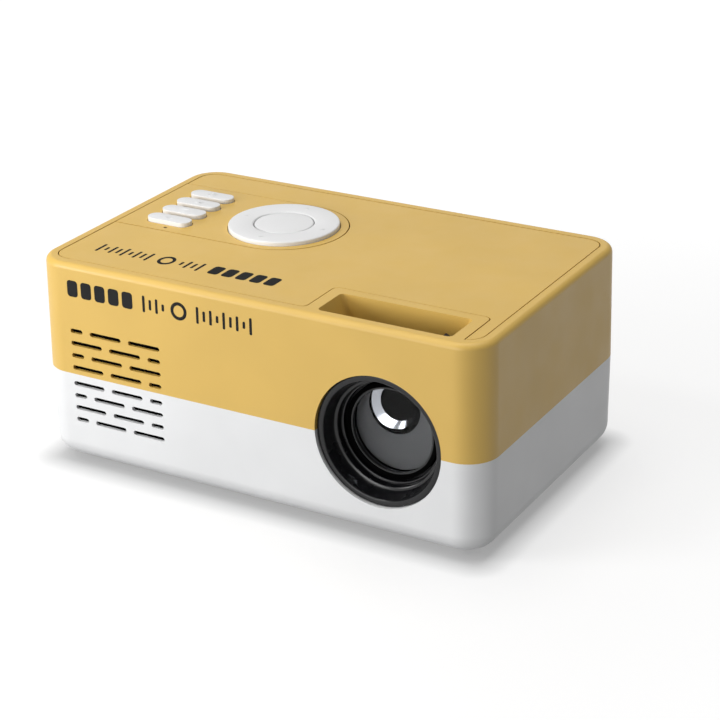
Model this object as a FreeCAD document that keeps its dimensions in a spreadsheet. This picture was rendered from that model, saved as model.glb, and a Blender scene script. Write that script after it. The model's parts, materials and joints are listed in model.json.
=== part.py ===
# Home projector: a pocket LCD projector in a two-colour case.
# Origin: centre of the footprint, on the surface under the feet. +Z is up, the lens looks along -Y,
# and +X is the side the lens is nearest to. Millimetres throughout.
import FreeCAD, Part
import math
import os
import re
from FreeCAD import Placement, Rotation, Vector

os.makedirs("parts", exist_ok=True)
doc = FreeCAD.newDocument("home_projector")

# ---------------------------------------------------------------- driving dimensions
SIZES = {
    # case
    "case_width": 140.0,
    "case_depth": 87.5,
    "case_height": 60.0,
    "foot_height": 1.8,
    "split_height": 27.2,
    "corner_radius": 9.0,
    "top_edge_radius": 1.8,
    "bottom_edge_radius": 6.0,
    "wall": 2.0,
    "upper_draft": 0.7,
    "lower_draft": 0.4,
    "post_radius": 3.4,
    "post_side": 62.3,
    "post_front": 36.2,
    "post_rear": 35.8,
    "post_left_front": 24.5,
    # inlaid top plates
    "inlay": 1.0,
    "parting": 0.15,
    "panel_half_width": 66.2,
    "panel_half_depth": 39.7,
    "panel_corner": 5.0,
    "notch_half_width": 23.0,
    "notch_back": 24.0,
    "pad_radius": 18.5,
    # finger recess over the focus lever
    "recess_half_width": 20.15,
    "recess_front": 39.8,
    "recess_back": 27.0,
    "recess_depth": 10.0,
    "recess_slope": 3.6,
    "recess_wall": 1.2,
    # front air vents
    "vent_left": 58.2,
    "vent_top": 38.5,
    "vent_pitch": 3.7,
    "vent_slot": 1.15,
    "vent_long": 10.4,
    "vent_short": 4.1,
    "vent_gap": 2.5,
    # keys
    "key_x": 51.7,
    "key_y": 8.72,
    "key_pitch": 7.43,
    "key_length": 14.2,
    "key_width": 5.0,
    "key_rise": 1.2,
    "key_gap": 0.25,
    "ring_x": 20.3,
    "ring_y": 9.3,
    "ring_radius": 16.0,
    "enter_radius": 8.5,
    # lens and focus
    "lens_x": 39.2,
    "lens_z": 29.5,
    "bezel_radius": 18.55,
    "bezel_setback": 0.9,
    "barrel_radius": 13.6,
    "glass_radius": 12.4,
    "running_gap": 0.06,
    "shift_across": 1.9,
    "shift_up": 3.0,
    "shift_lean": 1.7,
    "shift_large": 8.0,
    "shift_small": 5.2,
    "lever_radius": 32.0,
    "lever_tilt": 29.0,
    # light path
    "path_y": 10.0,
    "engine_left": 4.0,
    "engine_right": 60.8,
    "engine_front": 12.0,
    "engine_back": 31.8,
    "engine_bottom": 9.8,
    "engine_top": 49.2,
    "engine_wall": 2.0,
    # cooling
    "fan_x": 43.3,
    "fan_bore": 18.9,
    "fan_strut": 19.2,
    "blade_length": 10.1,
    "blade_thick": 0.8,
    "blade_chord": 7.6,
    "blade_pitch": 50.0,
    "mirror_length": 46.0,
    "mirror_thick": 1.8,
    "mirror_height": 34.0,
    "sink_half_width": 19.0,
    "sink_half_height": 17.0,
    "sink_fin_pitch": 4.1,
    "sink_fin_thick": 1.2,
    "fan_side": 40.0,
    "fan_depth": 10.0,
    "fan_z": 28.6,
    "fan_front": 40.4,
    # boards
    "board_bottom": 5.4,
    "board_thick": 1.6,
    "pad_board_bottom": 54.6,
    "pad_board_thick": 1.2,
    "plunger_top": 57.7,
    "wire_radius": 0.55,
}
sizes = doc.addObject("Spreadsheet::Sheet", "sizes")
for row, (alias, value) in enumerate(SIZES.items(), start=1):
    sizes.set(f"A{row}", alias)
    sizes.set(f"B{row}", str(value))
    sizes.setAlias(f"B{row}", alias)
doc.recompute()

TOP = "(foot_height + case_height)"
SPLIT = "(foot_height + split_height)"
FLOOR = "(foot_height + wall)"
FRONT = "(-case_depth/2)"
BACK = "(case_depth/2)"
SHELF_TOP = "(foot_height + case_height - inlay)"
SHELF_BOTTOM = "(foot_height + case_height - wall)"
TURNS = {
    "x": Rotation(Vector(0, 1, 0), 90),
    "y": Rotation(Vector(1, 0, 0), -90),
    "z": Rotation(),
}
LENS = ("lens_x", "lens_z")


# ---------------------------------------------------------------- small builders
def linked(formula):
    """A formula of size names, with each name pointed at its cell in the sheet."""
    return re.sub(r"[a-z_]+", lambda word: "sizes." + word.group(), str(formula))


def number(formula):
    """The present value of a formula of size names."""
    answer = sizes.evalExpression(linked(formula))
    return float(getattr(answer, "Value", answer))


def place(piece, x, y, z, turn=None):
    """Ties a piece's position to three formulas."""
    if turn is not None:
        piece.Placement = Placement(Vector(), turn)
    for letter, formula in zip("xyz", (x, y, z)):
        piece.setExpression(".Placement.Base." + letter, linked(formula))
    return piece


def box(name, x_span, y_span, z_span):
    """A rectangular block between a low and a high formula along each axis."""
    block = doc.addObject("Part::Box", name)
    spans = (x_span, y_span, z_span)
    for side, (low, high) in zip(("Length", "Width", "Height"), spans):
        block.setExpression(side, linked(f"({high}) - ({low})"))
    return place(block, x_span[0], y_span[0], z_span[0])


def rod(name, axis, radius, middle, span):
    """A round bar along an axis; middle holds its other two coordinates, in x, y, z order."""
    bar = doc.addObject("Part::Cylinder", name)
    bar.setExpression("Radius", linked(radius))
    bar.setExpression("Height", linked(f"({span[1]}) - ({span[0]})"))
    spot = list(middle)
    spot.insert("xyz".index(axis), span[0])
    return place(bar, *spot, turn=TURNS[axis])


def fuse(name, pieces):
    joined = doc.addObject("Part::MultiFuse", name)
    joined.Shapes = pieces
    return joined


def cut(name, base, tools):
    """The base with every tool taken out of it."""
    result = doc.addObject("Part::Cut", name)
    result.Base = base
    result.Tool = tools[0] if len(tools) == 1 else group(name + "_tools", tools)
    return result


def group(name, pieces):
    """Separate solids kept side by side in one object."""
    bundle = doc.addObject("Part::Compound", name)
    bundle.Links = pieces
    return bundle


def rounded(name, base, radius, wanted):
    """The base with the wanted edges rounded."""
    doc.recompute()
    result = doc.addObject("Part::Fillet", name)
    result.Base = base
    edges = enumerate(base.Shape.Edges, start=1)
    result.Edges = [(index, radius, radius) for index, edge in edges if wanted(edge)]
    return result


def upright(edge):
    """True for an edge that runs up and down."""
    ends = edge.Vertexes
    rise = abs(ends[0].Z - ends[-1].Z)
    return rise > 0.9 * edge.Length and rise > 0.01


def level_at(height):
    """A test for edges that lie at one height."""
    return lambda edge: all(abs(vertex.Z - height) < 0.01 for vertex in edge.Vertexes)


def base_plane(body, role):
    return next(plane for plane in body.Origin.OriginFeatures if plane.Role == role)


def sketch_on(body, role, name):
    sketch = body.newObject("Sketcher::SketchObject", name)
    sketch.AttachmentSupport = [(base_plane(body, role), "")]
    sketch.MapMode = "FlatFace"
    return sketch


def draw(sketch, corners):
    """A closed outline of straight sides whose corners are tied to pairs of formulas."""
    import Sketcher
    points = [Vector(number(across), number(along), 0) for across, along in corners]
    count = len(points)
    for index, point in enumerate(points):
        sketch.addGeometry(Part.LineSegment(point, points[(index + 1) % count]), False)
    for index in range(count):
        sketch.addConstraint(Sketcher.Constraint("Coincident", index, 2, (index + 1) % count, 1))
    for index, (point, corner) in enumerate(zip(points, corners)):
        for kind, value, formula, zero_axis in (
            ("DistanceX", point.x, corner[0], -2),
            ("DistanceY", point.y, corner[1], -1),
        ):
            if abs(value) < 1e-9:
                sketch.addConstraint(Sketcher.Constraint("PointOnObject", index, 1, zero_axis))
                continue
            rule = sketch.addConstraint(Sketcher.Constraint(kind, -1, 1, index, 1, value))
            sketch.setExpression(f"Constraints[{rule}]", linked(formula))


def turned(name, outline):
    """A body turned about its own Z axis from (radius, height) corners."""
    body = doc.addObject("PartDesign::Body", name)
    sketch = sketch_on(body, "XZ_Plane", name + "_outline")
    draw(sketch, outline)
    turning = body.newObject("PartDesign::Revolution", name + "_turning")
    turning.Profile = sketch
    turning.ReferenceAxis = (sketch, ["V_Axis"])
    turning.Angle = 360
    return body


def lens_turned(name, outline, front):
    """A turned body on the lens axis; its heights run backwards from the front formula."""
    return place(turned(name, outline), "lens_x", front, "lens_z", TURNS["y"])


def padded(name, half_width, half_depth, height, low, draft="0", down=False):
    """A body padded from a centred rectangle, narrowing by the draft angle."""
    body = doc.addObject("PartDesign::Body", name)
    sketch = sketch_on(body, "XY_Plane", name + "_outline")
    draw(sketch, [
        (f"-({half_width})", f"-({half_depth})"),
        (half_width, f"-({half_depth})"),
        (half_width, half_depth),
        (f"-({half_width})", half_depth),
    ])
    pad = body.newObject("PartDesign::Pad", name + "_pad")
    pad.Profile = sketch
    pad.setExpression("Length", linked(height))
    pad.setExpression("TaperAngle", linked(f"-({draft})"))
    pad.Reversed = down
    place(body, "0", "0", low)
    return body


def body_fillet(body, name, radius, wanted):
    """Rounds the wanted edges of a body, as its newest feature."""
    doc.recompute()
    tip = body.Tip
    edges = enumerate(tip.Shape.Edges, start=1)
    fillet = body.newObject("PartDesign::Fillet", name)
    fillet.Base = (tip, [f"Edge{index}" for index, edge in edges if wanted(edge)])
    fillet.setExpression("Radius", linked(radius))
    return body


def capsule(name, half_length, half_width, middle, z_span):
    """A long rounded slab lying along X."""
    x, y = middle
    core = box(name + "_core", (f"{x} - ({half_length}) + ({half_width})",
                                f"{x} + ({half_length}) - ({half_width})"),
               (f"{y} - ({half_width})", f"{y} + ({half_width})"), z_span)
    ends = [
        rod(f"{name}_end{index}", "z", half_width,
            (f"{x} {sign} (({half_length}) - ({half_width}))", y), z_span)
        for index, sign in enumerate("-+")
    ]
    return fuse(name, [core] + ends)


def wall_slot(name, x_span, z, y_span, half_height="vent_slot/2"):
    """A slot with round ends through a front or back wall."""
    low, high = x_span
    core = box(name + "_core", (f"{low} + {half_height}", f"{high} - {half_height}"), y_span,
               (f"{z} - {half_height}", f"{z} + {half_height}"))
    ends = [
        rod(name + "_low", "y", half_height, (f"{low} + {half_height}", z), y_span),
        rod(name + "_high", "y", half_height, (f"{high} - {half_height}", z), y_span),
    ]
    return fuse(name, [core] + ends)


nodes = {}


def keep(piece, label):
    """Names a finished sub-part; its label names its file."""
    piece.Label = label
    nodes[label] = piece
    return piece


# ---------------------------------------------------------------- shared case geometry
PATTERN_A = ("vent_short", "vent_long", "vent_long")
PATTERN_B = ("vent_long", "vent_long", "vent_short")
FRONT_WALL = (f"{FRONT} - 1", f"{FRONT} + wall + 1.5")
BACK_WALL = (f"{BACK} - wall - 1.5", f"{BACK} + 1")
POSTS = {
    "left_front": ("-post_side", "-post_left_front"),
    "right_front": ("post_side", "-post_front"),
    "left_rear": ("-post_side", "post_rear"),
    "right_rear": ("post_side", "post_rear"),
}


def vent_rows(name, patterns, top_row, y_span, x_sign="-"):
    """Rows of short and long slots, laid like bricks, running down from top_row."""
    slots = []
    for row, lengths in enumerate(patterns):
        left = f"{x_sign}vent_left"
        height = f"({top_row}) - {row}*vent_pitch"
        for index, length in enumerate(lengths):
            right = f"{left} + {length}"
            slots.append(wall_slot(f"{name}_{row}_{index}", (left, right), height, y_span))
            left = f"{right} + vent_gap"
    return slots


def corner_pillars(name, radius, low, high):
    """One upright bar at each case screw."""
    return [rod(f"{name}_{spot}", "z", radius, middle, (low, high)) for spot, middle in POSTS.items()]


# ---------------------------------------------------------------- lower shell
lower_outer = padded("lower_outer", "case_width/2", "case_depth/2", "split_height", SPLIT,
                     "lower_draft", down=True)
body_fillet(lower_outer, "lower_corners", "corner_radius", upright)
body_fillet(lower_outer, "lower_bottom_edge", "bottom_edge_radius",
            level_at(-number("split_height")))
inner_half_width = "case_width/2 - wall - 0.2"
inner_half_depth = "case_depth/2 - wall - 0.2"
lower_hollow_block = box("lower_hollow_block", (f"-({inner_half_width})", inner_half_width),
                         (f"-({inner_half_depth})", inner_half_depth), (FLOOR, f"{SPLIT} + 1"))
lower_hollow_sides = rounded("lower_hollow_sides", lower_hollow_block,
                             number("corner_radius - wall"), upright)
lower_hollow = rounded("lower_hollow", lower_hollow_sides,
                       number("bottom_edge_radius - wall"), level_at(number(FLOOR)))
lower_bowl = cut("lower_bowl", lower_outer, [lower_hollow])
board_posts = {
    "left_front": ("-57", "2"),
    "left_rear": ("-57", "27"),
    "right_front": ("-11", "2"),
    "right_rear": ("54", "37"),
}
engine_feet = {
    "left_front": ("0", "-18"),
    "right_front": ("56", "-18"),
    "left_rear": ("0", "36"),
    "right_rear": ("48", "36"),
}
lower_solids = [lower_bowl]
lower_solids += corner_pillars("lower_pillar", "post_radius", f"{FLOOR} - 0.5", SPLIT)
for spot, middle in board_posts.items():
    lower_solids.append(rod("board_post_" + spot, "z", "2.6", middle, (f"{FLOOR} - 0.5", "board_bottom")))
for spot, middle in engine_feet.items():
    lower_solids.append(rod("engine_post_" + spot, "z", "2.6", middle, (f"{FLOOR} - 0.5", "engine_bottom")))
tripod_boss = rod("tripod_boss", "z", "6.5", ("0", "-30"), (f"{FLOOR} - 0.5", "foot_height + 8.5"))
lower_solids.append(tripod_boss)
for index, sign in enumerate("-+"):
    lower_solids.append(box(f"fan_rib_{index}", (f"-fan_x {sign} (fan_side/2 - 4) - 1",
                                                 f"-fan_x {sign} (fan_side/2 - 4) + 1"),
                            ("-fan_front + fan_depth + 0.2", "-fan_front + fan_depth + 2.2"),
                            (f"{FLOOR} - 0.5", "18")))
lower_solid = fuse("lower_solid", lower_solids)

lower_cuts = vent_rows("lower_vent", (PATTERN_B, PATTERN_A, PATTERN_B, PATTERN_A),
                       f"{SPLIT} - 2.9", FRONT_WALL)
lower_cuts.append(rod("lower_lens_hole", "y", "bezel_radius + 0.2", LENS,
                      (f"{FRONT} - 1", f"{FRONT} + wall + 1")))
lower_cuts.append(rod("lower_bezel_groove", "y", "20.6", LENS,
                      (f"{FRONT} + wall - 0.1", f"{FRONT} + wall + 2")))
lower_cuts += corner_pillars("screw_way", "1.15", "foot_height - 1", f"{SPLIT} + 1")
lower_cuts += corner_pillars("screw_head_well", "2.4", "foot_height - 1", "foot_height + 7.2")
lower_cuts.append(rod("tripod_seat", "z", "4.6", ("0", "-30"), ("foot_height - 1", "foot_height + 7.5")))
for spot, middle in board_posts.items():
    lower_cuts.append(rod("board_pilot_" + spot, "z", "0.8", middle, (f"{FLOOR} - 0.6", "board_bottom + 1")))
for spot, middle in engine_feet.items():
    lower_cuts.append(rod("engine_pilot_" + spot, "z", "0.8", middle, (FLOOR, "engine_bottom + 1")))
lower_cuts.append(box("pry_notch", ("6.3", "11"), (f"{FRONT} - 1", f"{FRONT} + 4"),
                      ("foot_height - 1", "foot_height + 1.3")))
FEET = {
    "left_front": ("-57.5", "-31"),
    "right_front": ("57.5", "-31"),
    "left_rear": ("-54.5", "33.5"),
    "right_rear": ("54.5", "33.5"),
}
for spot, middle in FEET.items():
    lower_cuts.append(rod("foot_seat_" + spot, "z", "3.6", middle, ("foot_height - 1", "foot_height + 0.8")))

PORTS = {
    "hdmi": ("-46.2", "-30.8", "6.8", "13.0"),
    "usb": ("-22.4", "-8.6", "6.8", "13.6"),
    "card": ("6.6", "21.4", "6.8", "9.8"),
}
JACK = ("27", "10.4")
INLET = ("38", "12.6")
IR_EYE = ("-5.6", "18")
for name, (left, right, low, high) in PORTS.items():
    lower_cuts.append(box(name + "_port", (left, right), BACK_WALL, (low, high)))
lower_cuts.append(rod("av_port", "y", "3.3", JACK, BACK_WALL))
lower_cuts.append(rod("dc_port", "y", "4.2", INLET, BACK_WALL))
lower_cuts.append(rod("ir_port", "y", "2.2", IR_EYE, BACK_WALL))
for index in range(6):
    height = f"11 + {index}*2.6"
    lower_cuts.append(box(f"speaker_slot_{index}", ("-case_width/2 - 1", "-case_width/2 + wall + 1"),
                          ("2", "22"), (height, f"{height} + 1.1")))
keep(cut("lower_shell_solid", lower_solid, lower_cuts), "lower_shell")

# ---------------------------------------------------------------- upper shell
upper_outer = padded("upper_outer", "case_width/2", "case_depth/2",
                     "case_height - split_height", SPLIT, "upper_draft")
body_fillet(upper_outer, "upper_corners", "corner_radius", upright)
body_fillet(upper_outer, "upper_top_edge", "top_edge_radius",
            level_at(number("case_height - split_height")))
upper_half_width = "case_width/2 - wall - 0.4"
upper_half_depth = "case_depth/2 - wall - 0.4"
upper_hollow_block = box("upper_hollow_block", (f"-({upper_half_width})", upper_half_width),
                         (f"-({upper_half_depth})", upper_half_depth), (f"{SPLIT} - 1", SHELF_BOTTOM))
upper_hollow = rounded("upper_hollow", upper_hollow_block, number("corner_radius - wall"), upright)
upper_bowl = cut("upper_bowl", upper_outer, [upper_hollow])


def recess_wedge(name, half_width, front, back, depth, slope):
    """A finger recess: a well whose two ends lean inwards as it goes down."""
    wedge = doc.addObject("Part::Wedge", name)
    middle = f"(({front}) + ({back}))/2"
    half_depth = f"(({back}) - ({front}))/2"
    for prop, formula in (
        ("Xmin", f"-({half_width})"), ("Xmax", half_width),
        ("X2min", f"-({half_width}) + ({slope})"), ("X2max", f"({half_width}) - ({slope})"),
        ("Zmin", f"-({half_depth})"), ("Zmax", half_depth),
        ("Z2min", f"-({half_depth}) + 0.3"), ("Z2max", f"({half_depth}) - 0.3"),
        ("Ymin", "0"), ("Ymax", depth),
    ):
        wedge.setExpression(prop, linked(formula))
    return place(wedge, "lens_x", middle, TOP, Rotation(Vector(1, 0, 0), -90))


upper_solids = [upper_bowl]
upper_solids += corner_pillars("upper_pillar", "post_radius", SPLIT, f"{SHELF_BOTTOM} + 0.5")
upper_solids.append(recess_wedge("recess_walls", "recess_half_width + recess_wall",
                                 "-recess_front - recess_wall", "-recess_back + recess_wall",
                                 "recess_depth", "recess_slope"))
PAD_POSTS = {
    "left_front": ("-61.5", "-5"),
    "left_rear": ("-61.5", "23.5"),
    "right_front": ("-39.5", "-5"),
    "right_rear": ("-39.5", "23.5"),
}
for spot, middle in PAD_POSTS.items():
    upper_solids.append(rod("pad_post_" + spot, "z", "2.0", middle,
                            ("pad_board_bottom + pad_board_thick", f"{SHELF_BOTTOM} + 0.5")))
upper_solid = fuse("upper_solid", upper_solids)

upper_cuts = vent_rows("upper_vent", (PATTERN_A, PATTERN_B, PATTERN_A, PATTERN_B),
                       f"{SPLIT} + 13.1", FRONT_WALL)
upper_cuts += vent_rows("rear_vent", (PATTERN_A, PATTERN_B, PATTERN_A, PATTERN_B),
                        f"{SPLIT} + 16.8", BACK_WALL)
upper_cuts.append(rod("upper_lens_hole", "y", "bezel_radius + 0.2", LENS,
                      (f"{FRONT} - 1", f"{FRONT} + wall + 1")))
upper_cuts.append(rod("upper_bezel_groove", "y", "20.6", LENS,
                      (f"{FRONT} + wall - 0.1", f"{FRONT} + wall + 2")))
upper_cuts.append(recess_wedge("recess_opening", "recess_half_width", "-recess_front",
                               "-recess_back", "recess_depth + 1", "recess_slope*1.1"))
panel_block = box("panel_block", ("-panel_half_width", "panel_half_width"),
                  ("-panel_half_depth", "panel_half_depth"), (SHELF_TOP, f"{TOP} + 1"))
panel_pocket_outline = rounded("panel_pocket_outline", panel_block, number("panel_corner"), upright)
notch_keep = box("notch_keep", ("lens_x - notch_half_width", "lens_x + notch_half_width"),
                 ("-panel_half_depth - 1", "-notch_back"), (f"{SHELF_TOP} - 1", f"{TOP} + 2"))
panel_pocket = cut("panel_pocket", panel_pocket_outline, [notch_keep])
upper_cuts.append(panel_pocket)
THROUGH = (f"{SHELF_BOTTOM} - 2", f"{TOP} + 1")
key_rows = [f"key_y + ({index} - 1.5)*key_pitch" for index in range(4)]
for index, row_y in enumerate(key_rows):
    upper_cuts.append(capsule(f"key_hole_{index}", "key_length/2 + key_gap", "key_width/2 + key_gap",
                              ("-key_x", row_y), THROUGH))
upper_cuts.append(rod("ring_hole", "z", "ring_radius + key_gap", ("-ring_x", "ring_y"), THROUGH))
upper_cuts.append(rod("light_hole", "z", "0.62", ("-50.2", "-6.9"), THROUGH))
upper_cuts += corner_pillars("upper_screw_way", "0.85", f"{SPLIT} - 1", f"{SPLIT} + 9")
for spot, middle in PAD_POSTS.items():
    upper_cuts.append(rod("pad_pilot_" + spot, "z", "0.6", middle,
                          ("pad_board_bottom", "pad_board_bottom + pad_board_thick + 3")))
keep(cut("upper_shell_solid", upper_solid, upper_cuts), "upper_shell")

# ---------------------------------------------------------------- inlaid top plates
plate_block = box("plate_block", ("-panel_half_width + parting", "panel_half_width - parting"),
                  ("-panel_half_depth + parting", "panel_half_depth - parting"), (SHELF_TOP, TOP))
plate_outline = rounded("plate_outline", plate_block, number("panel_corner - parting"), upright)
plate_notch = box("plate_notch",
                  ("lens_x - notch_half_width - parting", "lens_x + notch_half_width + parting"),
                  ("-panel_half_depth - 1", "-notch_back + parting"), (f"{SHELF_TOP} - 1", f"{TOP} + 1"))


def pad_outline(name, grow, z_span, left):
    """The stadium around the keys and the ring, open at the panel's left edge."""
    strip = box(name + "_strip", (left, "-ring_x"),
                (f"ring_y - pad_radius - ({grow})", f"ring_y + pad_radius + ({grow})"), z_span)
    nose = rod(name + "_nose", "z", f"pad_radius + ({grow})", ("-ring_x", "ring_y"), z_span)
    return fuse(name, [strip, nose])


plate_window = pad_outline("plate_window", "parting", (f"{SHELF_TOP} - 1", f"{TOP} + 1"),
                           "-panel_half_width - 1")
keep(cut("top_panel_solid", plate_outline, [plate_notch, plate_window]), "top_panel")

pad_plate = pad_outline("pad_plate", "0", (SHELF_TOP, TOP), "-panel_half_width + parting")
pad_holes = [
    capsule(f"plate_key_hole_{index}", "key_length/2 + key_gap", "key_width/2 + key_gap",
            ("-key_x", row_y), THROUGH)
    for index, row_y in enumerate(key_rows)
]
pad_holes.append(rod("plate_ring_hole", "z", "ring_radius + key_gap", ("-ring_x", "ring_y"), THROUGH))
pad_holes.append(rod("plate_light_hole", "z", "0.62", ("-50.2", "-6.9"), THROUGH))
keep(cut("keypad_plate_solid", pad_plate, pad_holes), "keypad_plate")

# ---------------------------------------------------------------- keys and direction ring
KEY_NAMES = ("back_key", "menu_key", "input_key", "power_key")
FLANGE = ("plunger_top + 0.6", f"{SHELF_BOTTOM} - 0.3")
for index, (key_name, row_y) in enumerate(zip(KEY_NAMES, key_rows)):
    cap = capsule(key_name + "_cap", "key_length/2", "key_width/2", ("-key_x", row_y),
                  ("plunger_top + 0.6", f"{TOP} + key_rise"))
    soft_cap = rounded(key_name + "_soft_cap", cap, 0.7, level_at(number(f"{TOP} + key_rise")))
    flange = box(key_name + "_flange", ("-key_x - key_length/2 - 0.9", "-key_x + key_length/2 + 0.9"),
                 (f"{row_y} - 1.6", f"{row_y} + 1.6"), FLANGE)
    keep(fuse(key_name + "_solid", [soft_cap, flange]), key_name)

ring_base = "plunger_top + 0.5"
ring = turned("ring_body", [
    ("enter_radius + key_gap", "1.0"),
    ("enter_radius + 1.4", "1.0"),
    ("enter_radius + 1.4", "3.4"),
    ("ring_radius - 1.8", "3.4"),
    ("ring_radius - 1.8", "0"),
    ("ring_radius + 0.9", "0"),
    ("ring_radius + 0.9", "0.85"),
    ("ring_radius", "0.85"),
    ("ring_radius", "4.8"),
    ("enter_radius + key_gap", "4.8"),
])
body_fillet(ring, "ring_soft_edge", "0.6", level_at(4.8))
keep(place(ring, "-ring_x", "ring_y", ring_base), "nav_ring")
cradle = turned("cradle_body", [
    ("enter_radius + 2.1", "0"),
    ("ring_radius - 2.5", "0"),
    ("ring_radius - 2.5", "1.2"),
    ("enter_radius + 2.1", "1.2"),
])
keep(place(cradle, "-ring_x", "ring_y", f"{ring_base} + 1.0"), "nav_cradle")
enter = turned("enter_body", [
    ("0", "0"),
    ("enter_radius + 0.8", "0"),
    ("enter_radius + 0.8", "0.6"),
    ("enter_radius", "0.6"),
    ("enter_radius", "4.7"),
    ("0", "4.7"),
])
body_fillet(enter, "enter_soft_edge", "0.5", level_at(4.7))
keep(place(enter, "-ring_x", "ring_y", ring_base), "enter_button")

# ---------------------------------------------------------------- keypad board
PAD_BOARD_TOP = "(pad_board_bottom + pad_board_thick)"
pad_board_blank = box("pad_board_blank", ("-64", "-1"), ("-8.4", "31.4"),
                      ("pad_board_bottom", PAD_BOARD_TOP))
pad_board_holes = [
    rod("pad_board_hole_" + spot, "z", "1.1", middle, ("pad_board_bottom - 1", f"{PAD_BOARD_TOP} + 1"))
    for spot, middle in PAD_POSTS.items()
]
keep(cut("keypad_board_solid", pad_board_blank, pad_board_holes), "keypad_board")
switch_spots = [("-key_x", row_y) for row_y in key_rows]
switch_spots += [
    ("-ring_x", "ring_y"),
    ("-ring_x - 15", "ring_y"), ("-ring_x + 15", "ring_y"),
    ("-ring_x", "ring_y - 15"), ("-ring_x", "ring_y + 15"),
]
switches = []
for index, (x, y) in enumerate(switch_spots):
    can = box(f"switch_can_{index}", (f"{x} - 2.2", f"{x} + 2.2"), (f"{y} - 2.2", f"{y} + 2.2"),
              (PAD_BOARD_TOP, f"{PAD_BOARD_TOP} + 1.2"))
    stem = rod(f"switch_stem_{index}", "z", "1.1", (x, y), (f"{PAD_BOARD_TOP} + 1.1", "plunger_top - 0.05"))
    switches.append(fuse(f"switch_{index}", [can, stem]))
keep(group("switch_group", switches), "tact_switches")
light_can = box("light_can", ("-50.9", "-49.5"), ("-7.6", "-6.2"), (PAD_BOARD_TOP, f"{PAD_BOARD_TOP} + 0.8"))
keep(light_can, "status_led")
keep(rod("light_rod", "z", "0.55", ("-50.2", "-6.9"), (f"{PAD_BOARD_TOP} + 0.85", f"{TOP} - 0.15")),
     "status_light_pipe")
keep(group("pad_screw_group", [
    fuse("pad_screw_" + spot, [
        rod("pad_screw_head_" + spot, "z", "1.6", middle, ("pad_board_bottom - 1.1", "pad_board_bottom")),
        rod("pad_screw_shank_" + spot, "z", "0.55", middle,
            ("pad_board_bottom - 0.1", "pad_board_bottom + pad_board_thick + 2.6")),
    ]) for spot, middle in PAD_POSTS.items()
]), "keypad_screws")

# ---------------------------------------------------------------- lens, focus ring and mount
keep(lens_turned("bezel_body", [
    ("16.9", "0.25"),
    ("17.3", "0"),
    ("bezel_radius - 0.25", "0"),
    ("bezel_radius", "0.25"),
    ("bezel_radius", "wall - bezel_setback + 0.1"),
    ("20.2", "wall - bezel_setback + 0.1"),
    ("20.2", "2.5"),
    ("17.4", "2.5"),
    ("16.6", "8.7"),
    ("14.2", "8.7"),
    ("14.2", "6.0"),
    ("14.9", "5.6"),
    ("15.0", "4.0"),
    ("15.7", "3.5"),
], f"{FRONT} + bezel_setback"), "lens_bezel")

BARREL_FRONT = f"({FRONT} + 7.9)"
barrel = lens_turned("barrel_body", [
    ("glass_radius + 0.05", "0"),
    ("barrel_radius", "0"),
    ("barrel_radius", "23"),
    ("10.6", "23"),
    ("10.6", "22"),
    ("glass_radius + 0.05", "22"),
], BARREL_FRONT)
barrel_key = box("barrel_key", ("lens_x - 1", "lens_x + 1"),
                 (f"{BARREL_FRONT} + 9.5", f"{BARREL_FRONT} + 21"),
                 ("lens_z - barrel_radius - 1.1", "lens_z - barrel_radius + 0.5"))
keep(fuse("barrel_solid", [barrel, barrel_key]), "lens_barrel")
keep(lens_turned("front_ring_body", [
    ("11.9", "0"),
    ("glass_radius", "0"),
    ("glass_radius", "1.4"),
    ("12.1", "1.4"),
], f"{BARREL_FRONT} + 0.3"), "lens_retaining_ring")


def lens_glass(name, radius, front, edge_front, edge_back, back):
    """A glass bulging to front and back of its edge, cut from two balls and a bar."""
    pieces = [rod(name + "_bar", "y", radius, LENS, (front, back))]
    for side, tip, rim, sign in (("front", front, edge_front, 1), ("back", back, edge_back, -1)):
        bulge = abs(number(rim) - number(tip))
        curve = (number(radius) ** 2 + bulge ** 2) / (2 * bulge)
        ball = doc.addObject("Part::Sphere", f"{name}_{side}_ball")
        ball.Radius = curve
        pieces.append(place(ball, "lens_x", f"{tip} + ({sign * curve})", "lens_z", TURNS["y"]))
    glass = doc.addObject("Part::MultiCommon", name)
    glass.Shapes = pieces
    return glass


keep(lens_glass("front_glass", "glass_radius", f"{BARREL_FRONT} + 0.4", f"{BARREL_FRONT} + 1.8",
                f"{BARREL_FRONT} + 2.6", f"{BARREL_FRONT} + 3.0"), "front_lens")


def leaning_cone(name, front_radius, back_radius, front, back):
    """A cone whose small end sits higher than its large end, so that the picture is thrown upwards."""
    rings = []
    for end, radius, depth, rise in (
        ("front", front_radius, front, "shift_up"),
        ("back", back_radius, back, "shift_up + shift_lean"),
    ):
        ring_edge = doc.addObject("Part::Circle", f"{name}_{end}")
        ring_edge.setExpression("Radius", linked(radius))
        rings.append(place(ring_edge, "lens_x - shift_across", depth, f"lens_z + {rise}", TURNS["y"]))
    cone = doc.addObject("Part::Loft", name)
    cone.Sections = rings
    cone.Solid = True
    cone.Ruled = True
    return cone


CONE_SPAN = (f"{BARREL_FRONT} + 3.1", f"{BARREL_FRONT} + 7.3")
keep(cut("stop_solid", rod("stop_disc", "y", "glass_radius", LENS, CONE_SPAN),
         [leaning_cone("stop_opening", "shift_large + 0.35", "shift_small + 0.35", *CONE_SPAN)]),
     "aperture_stop")
keep(cut("spacer_solid",
         leaning_cone("spacer_outside", "shift_large + 0.33", "shift_small + 0.33", *CONE_SPAN),
         [leaning_cone("spacer_inside", "shift_large", "shift_small", *CONE_SPAN)]), "lens_spacer")
keep(lens_glass("rear_glass", "glass_radius", f"{BARREL_FRONT} + 12.6", f"{BARREL_FRONT} + 15",
                f"{BARREL_FRONT} + 17.6", f"{BARREL_FRONT} + 20"), "rear_lens")

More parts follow.
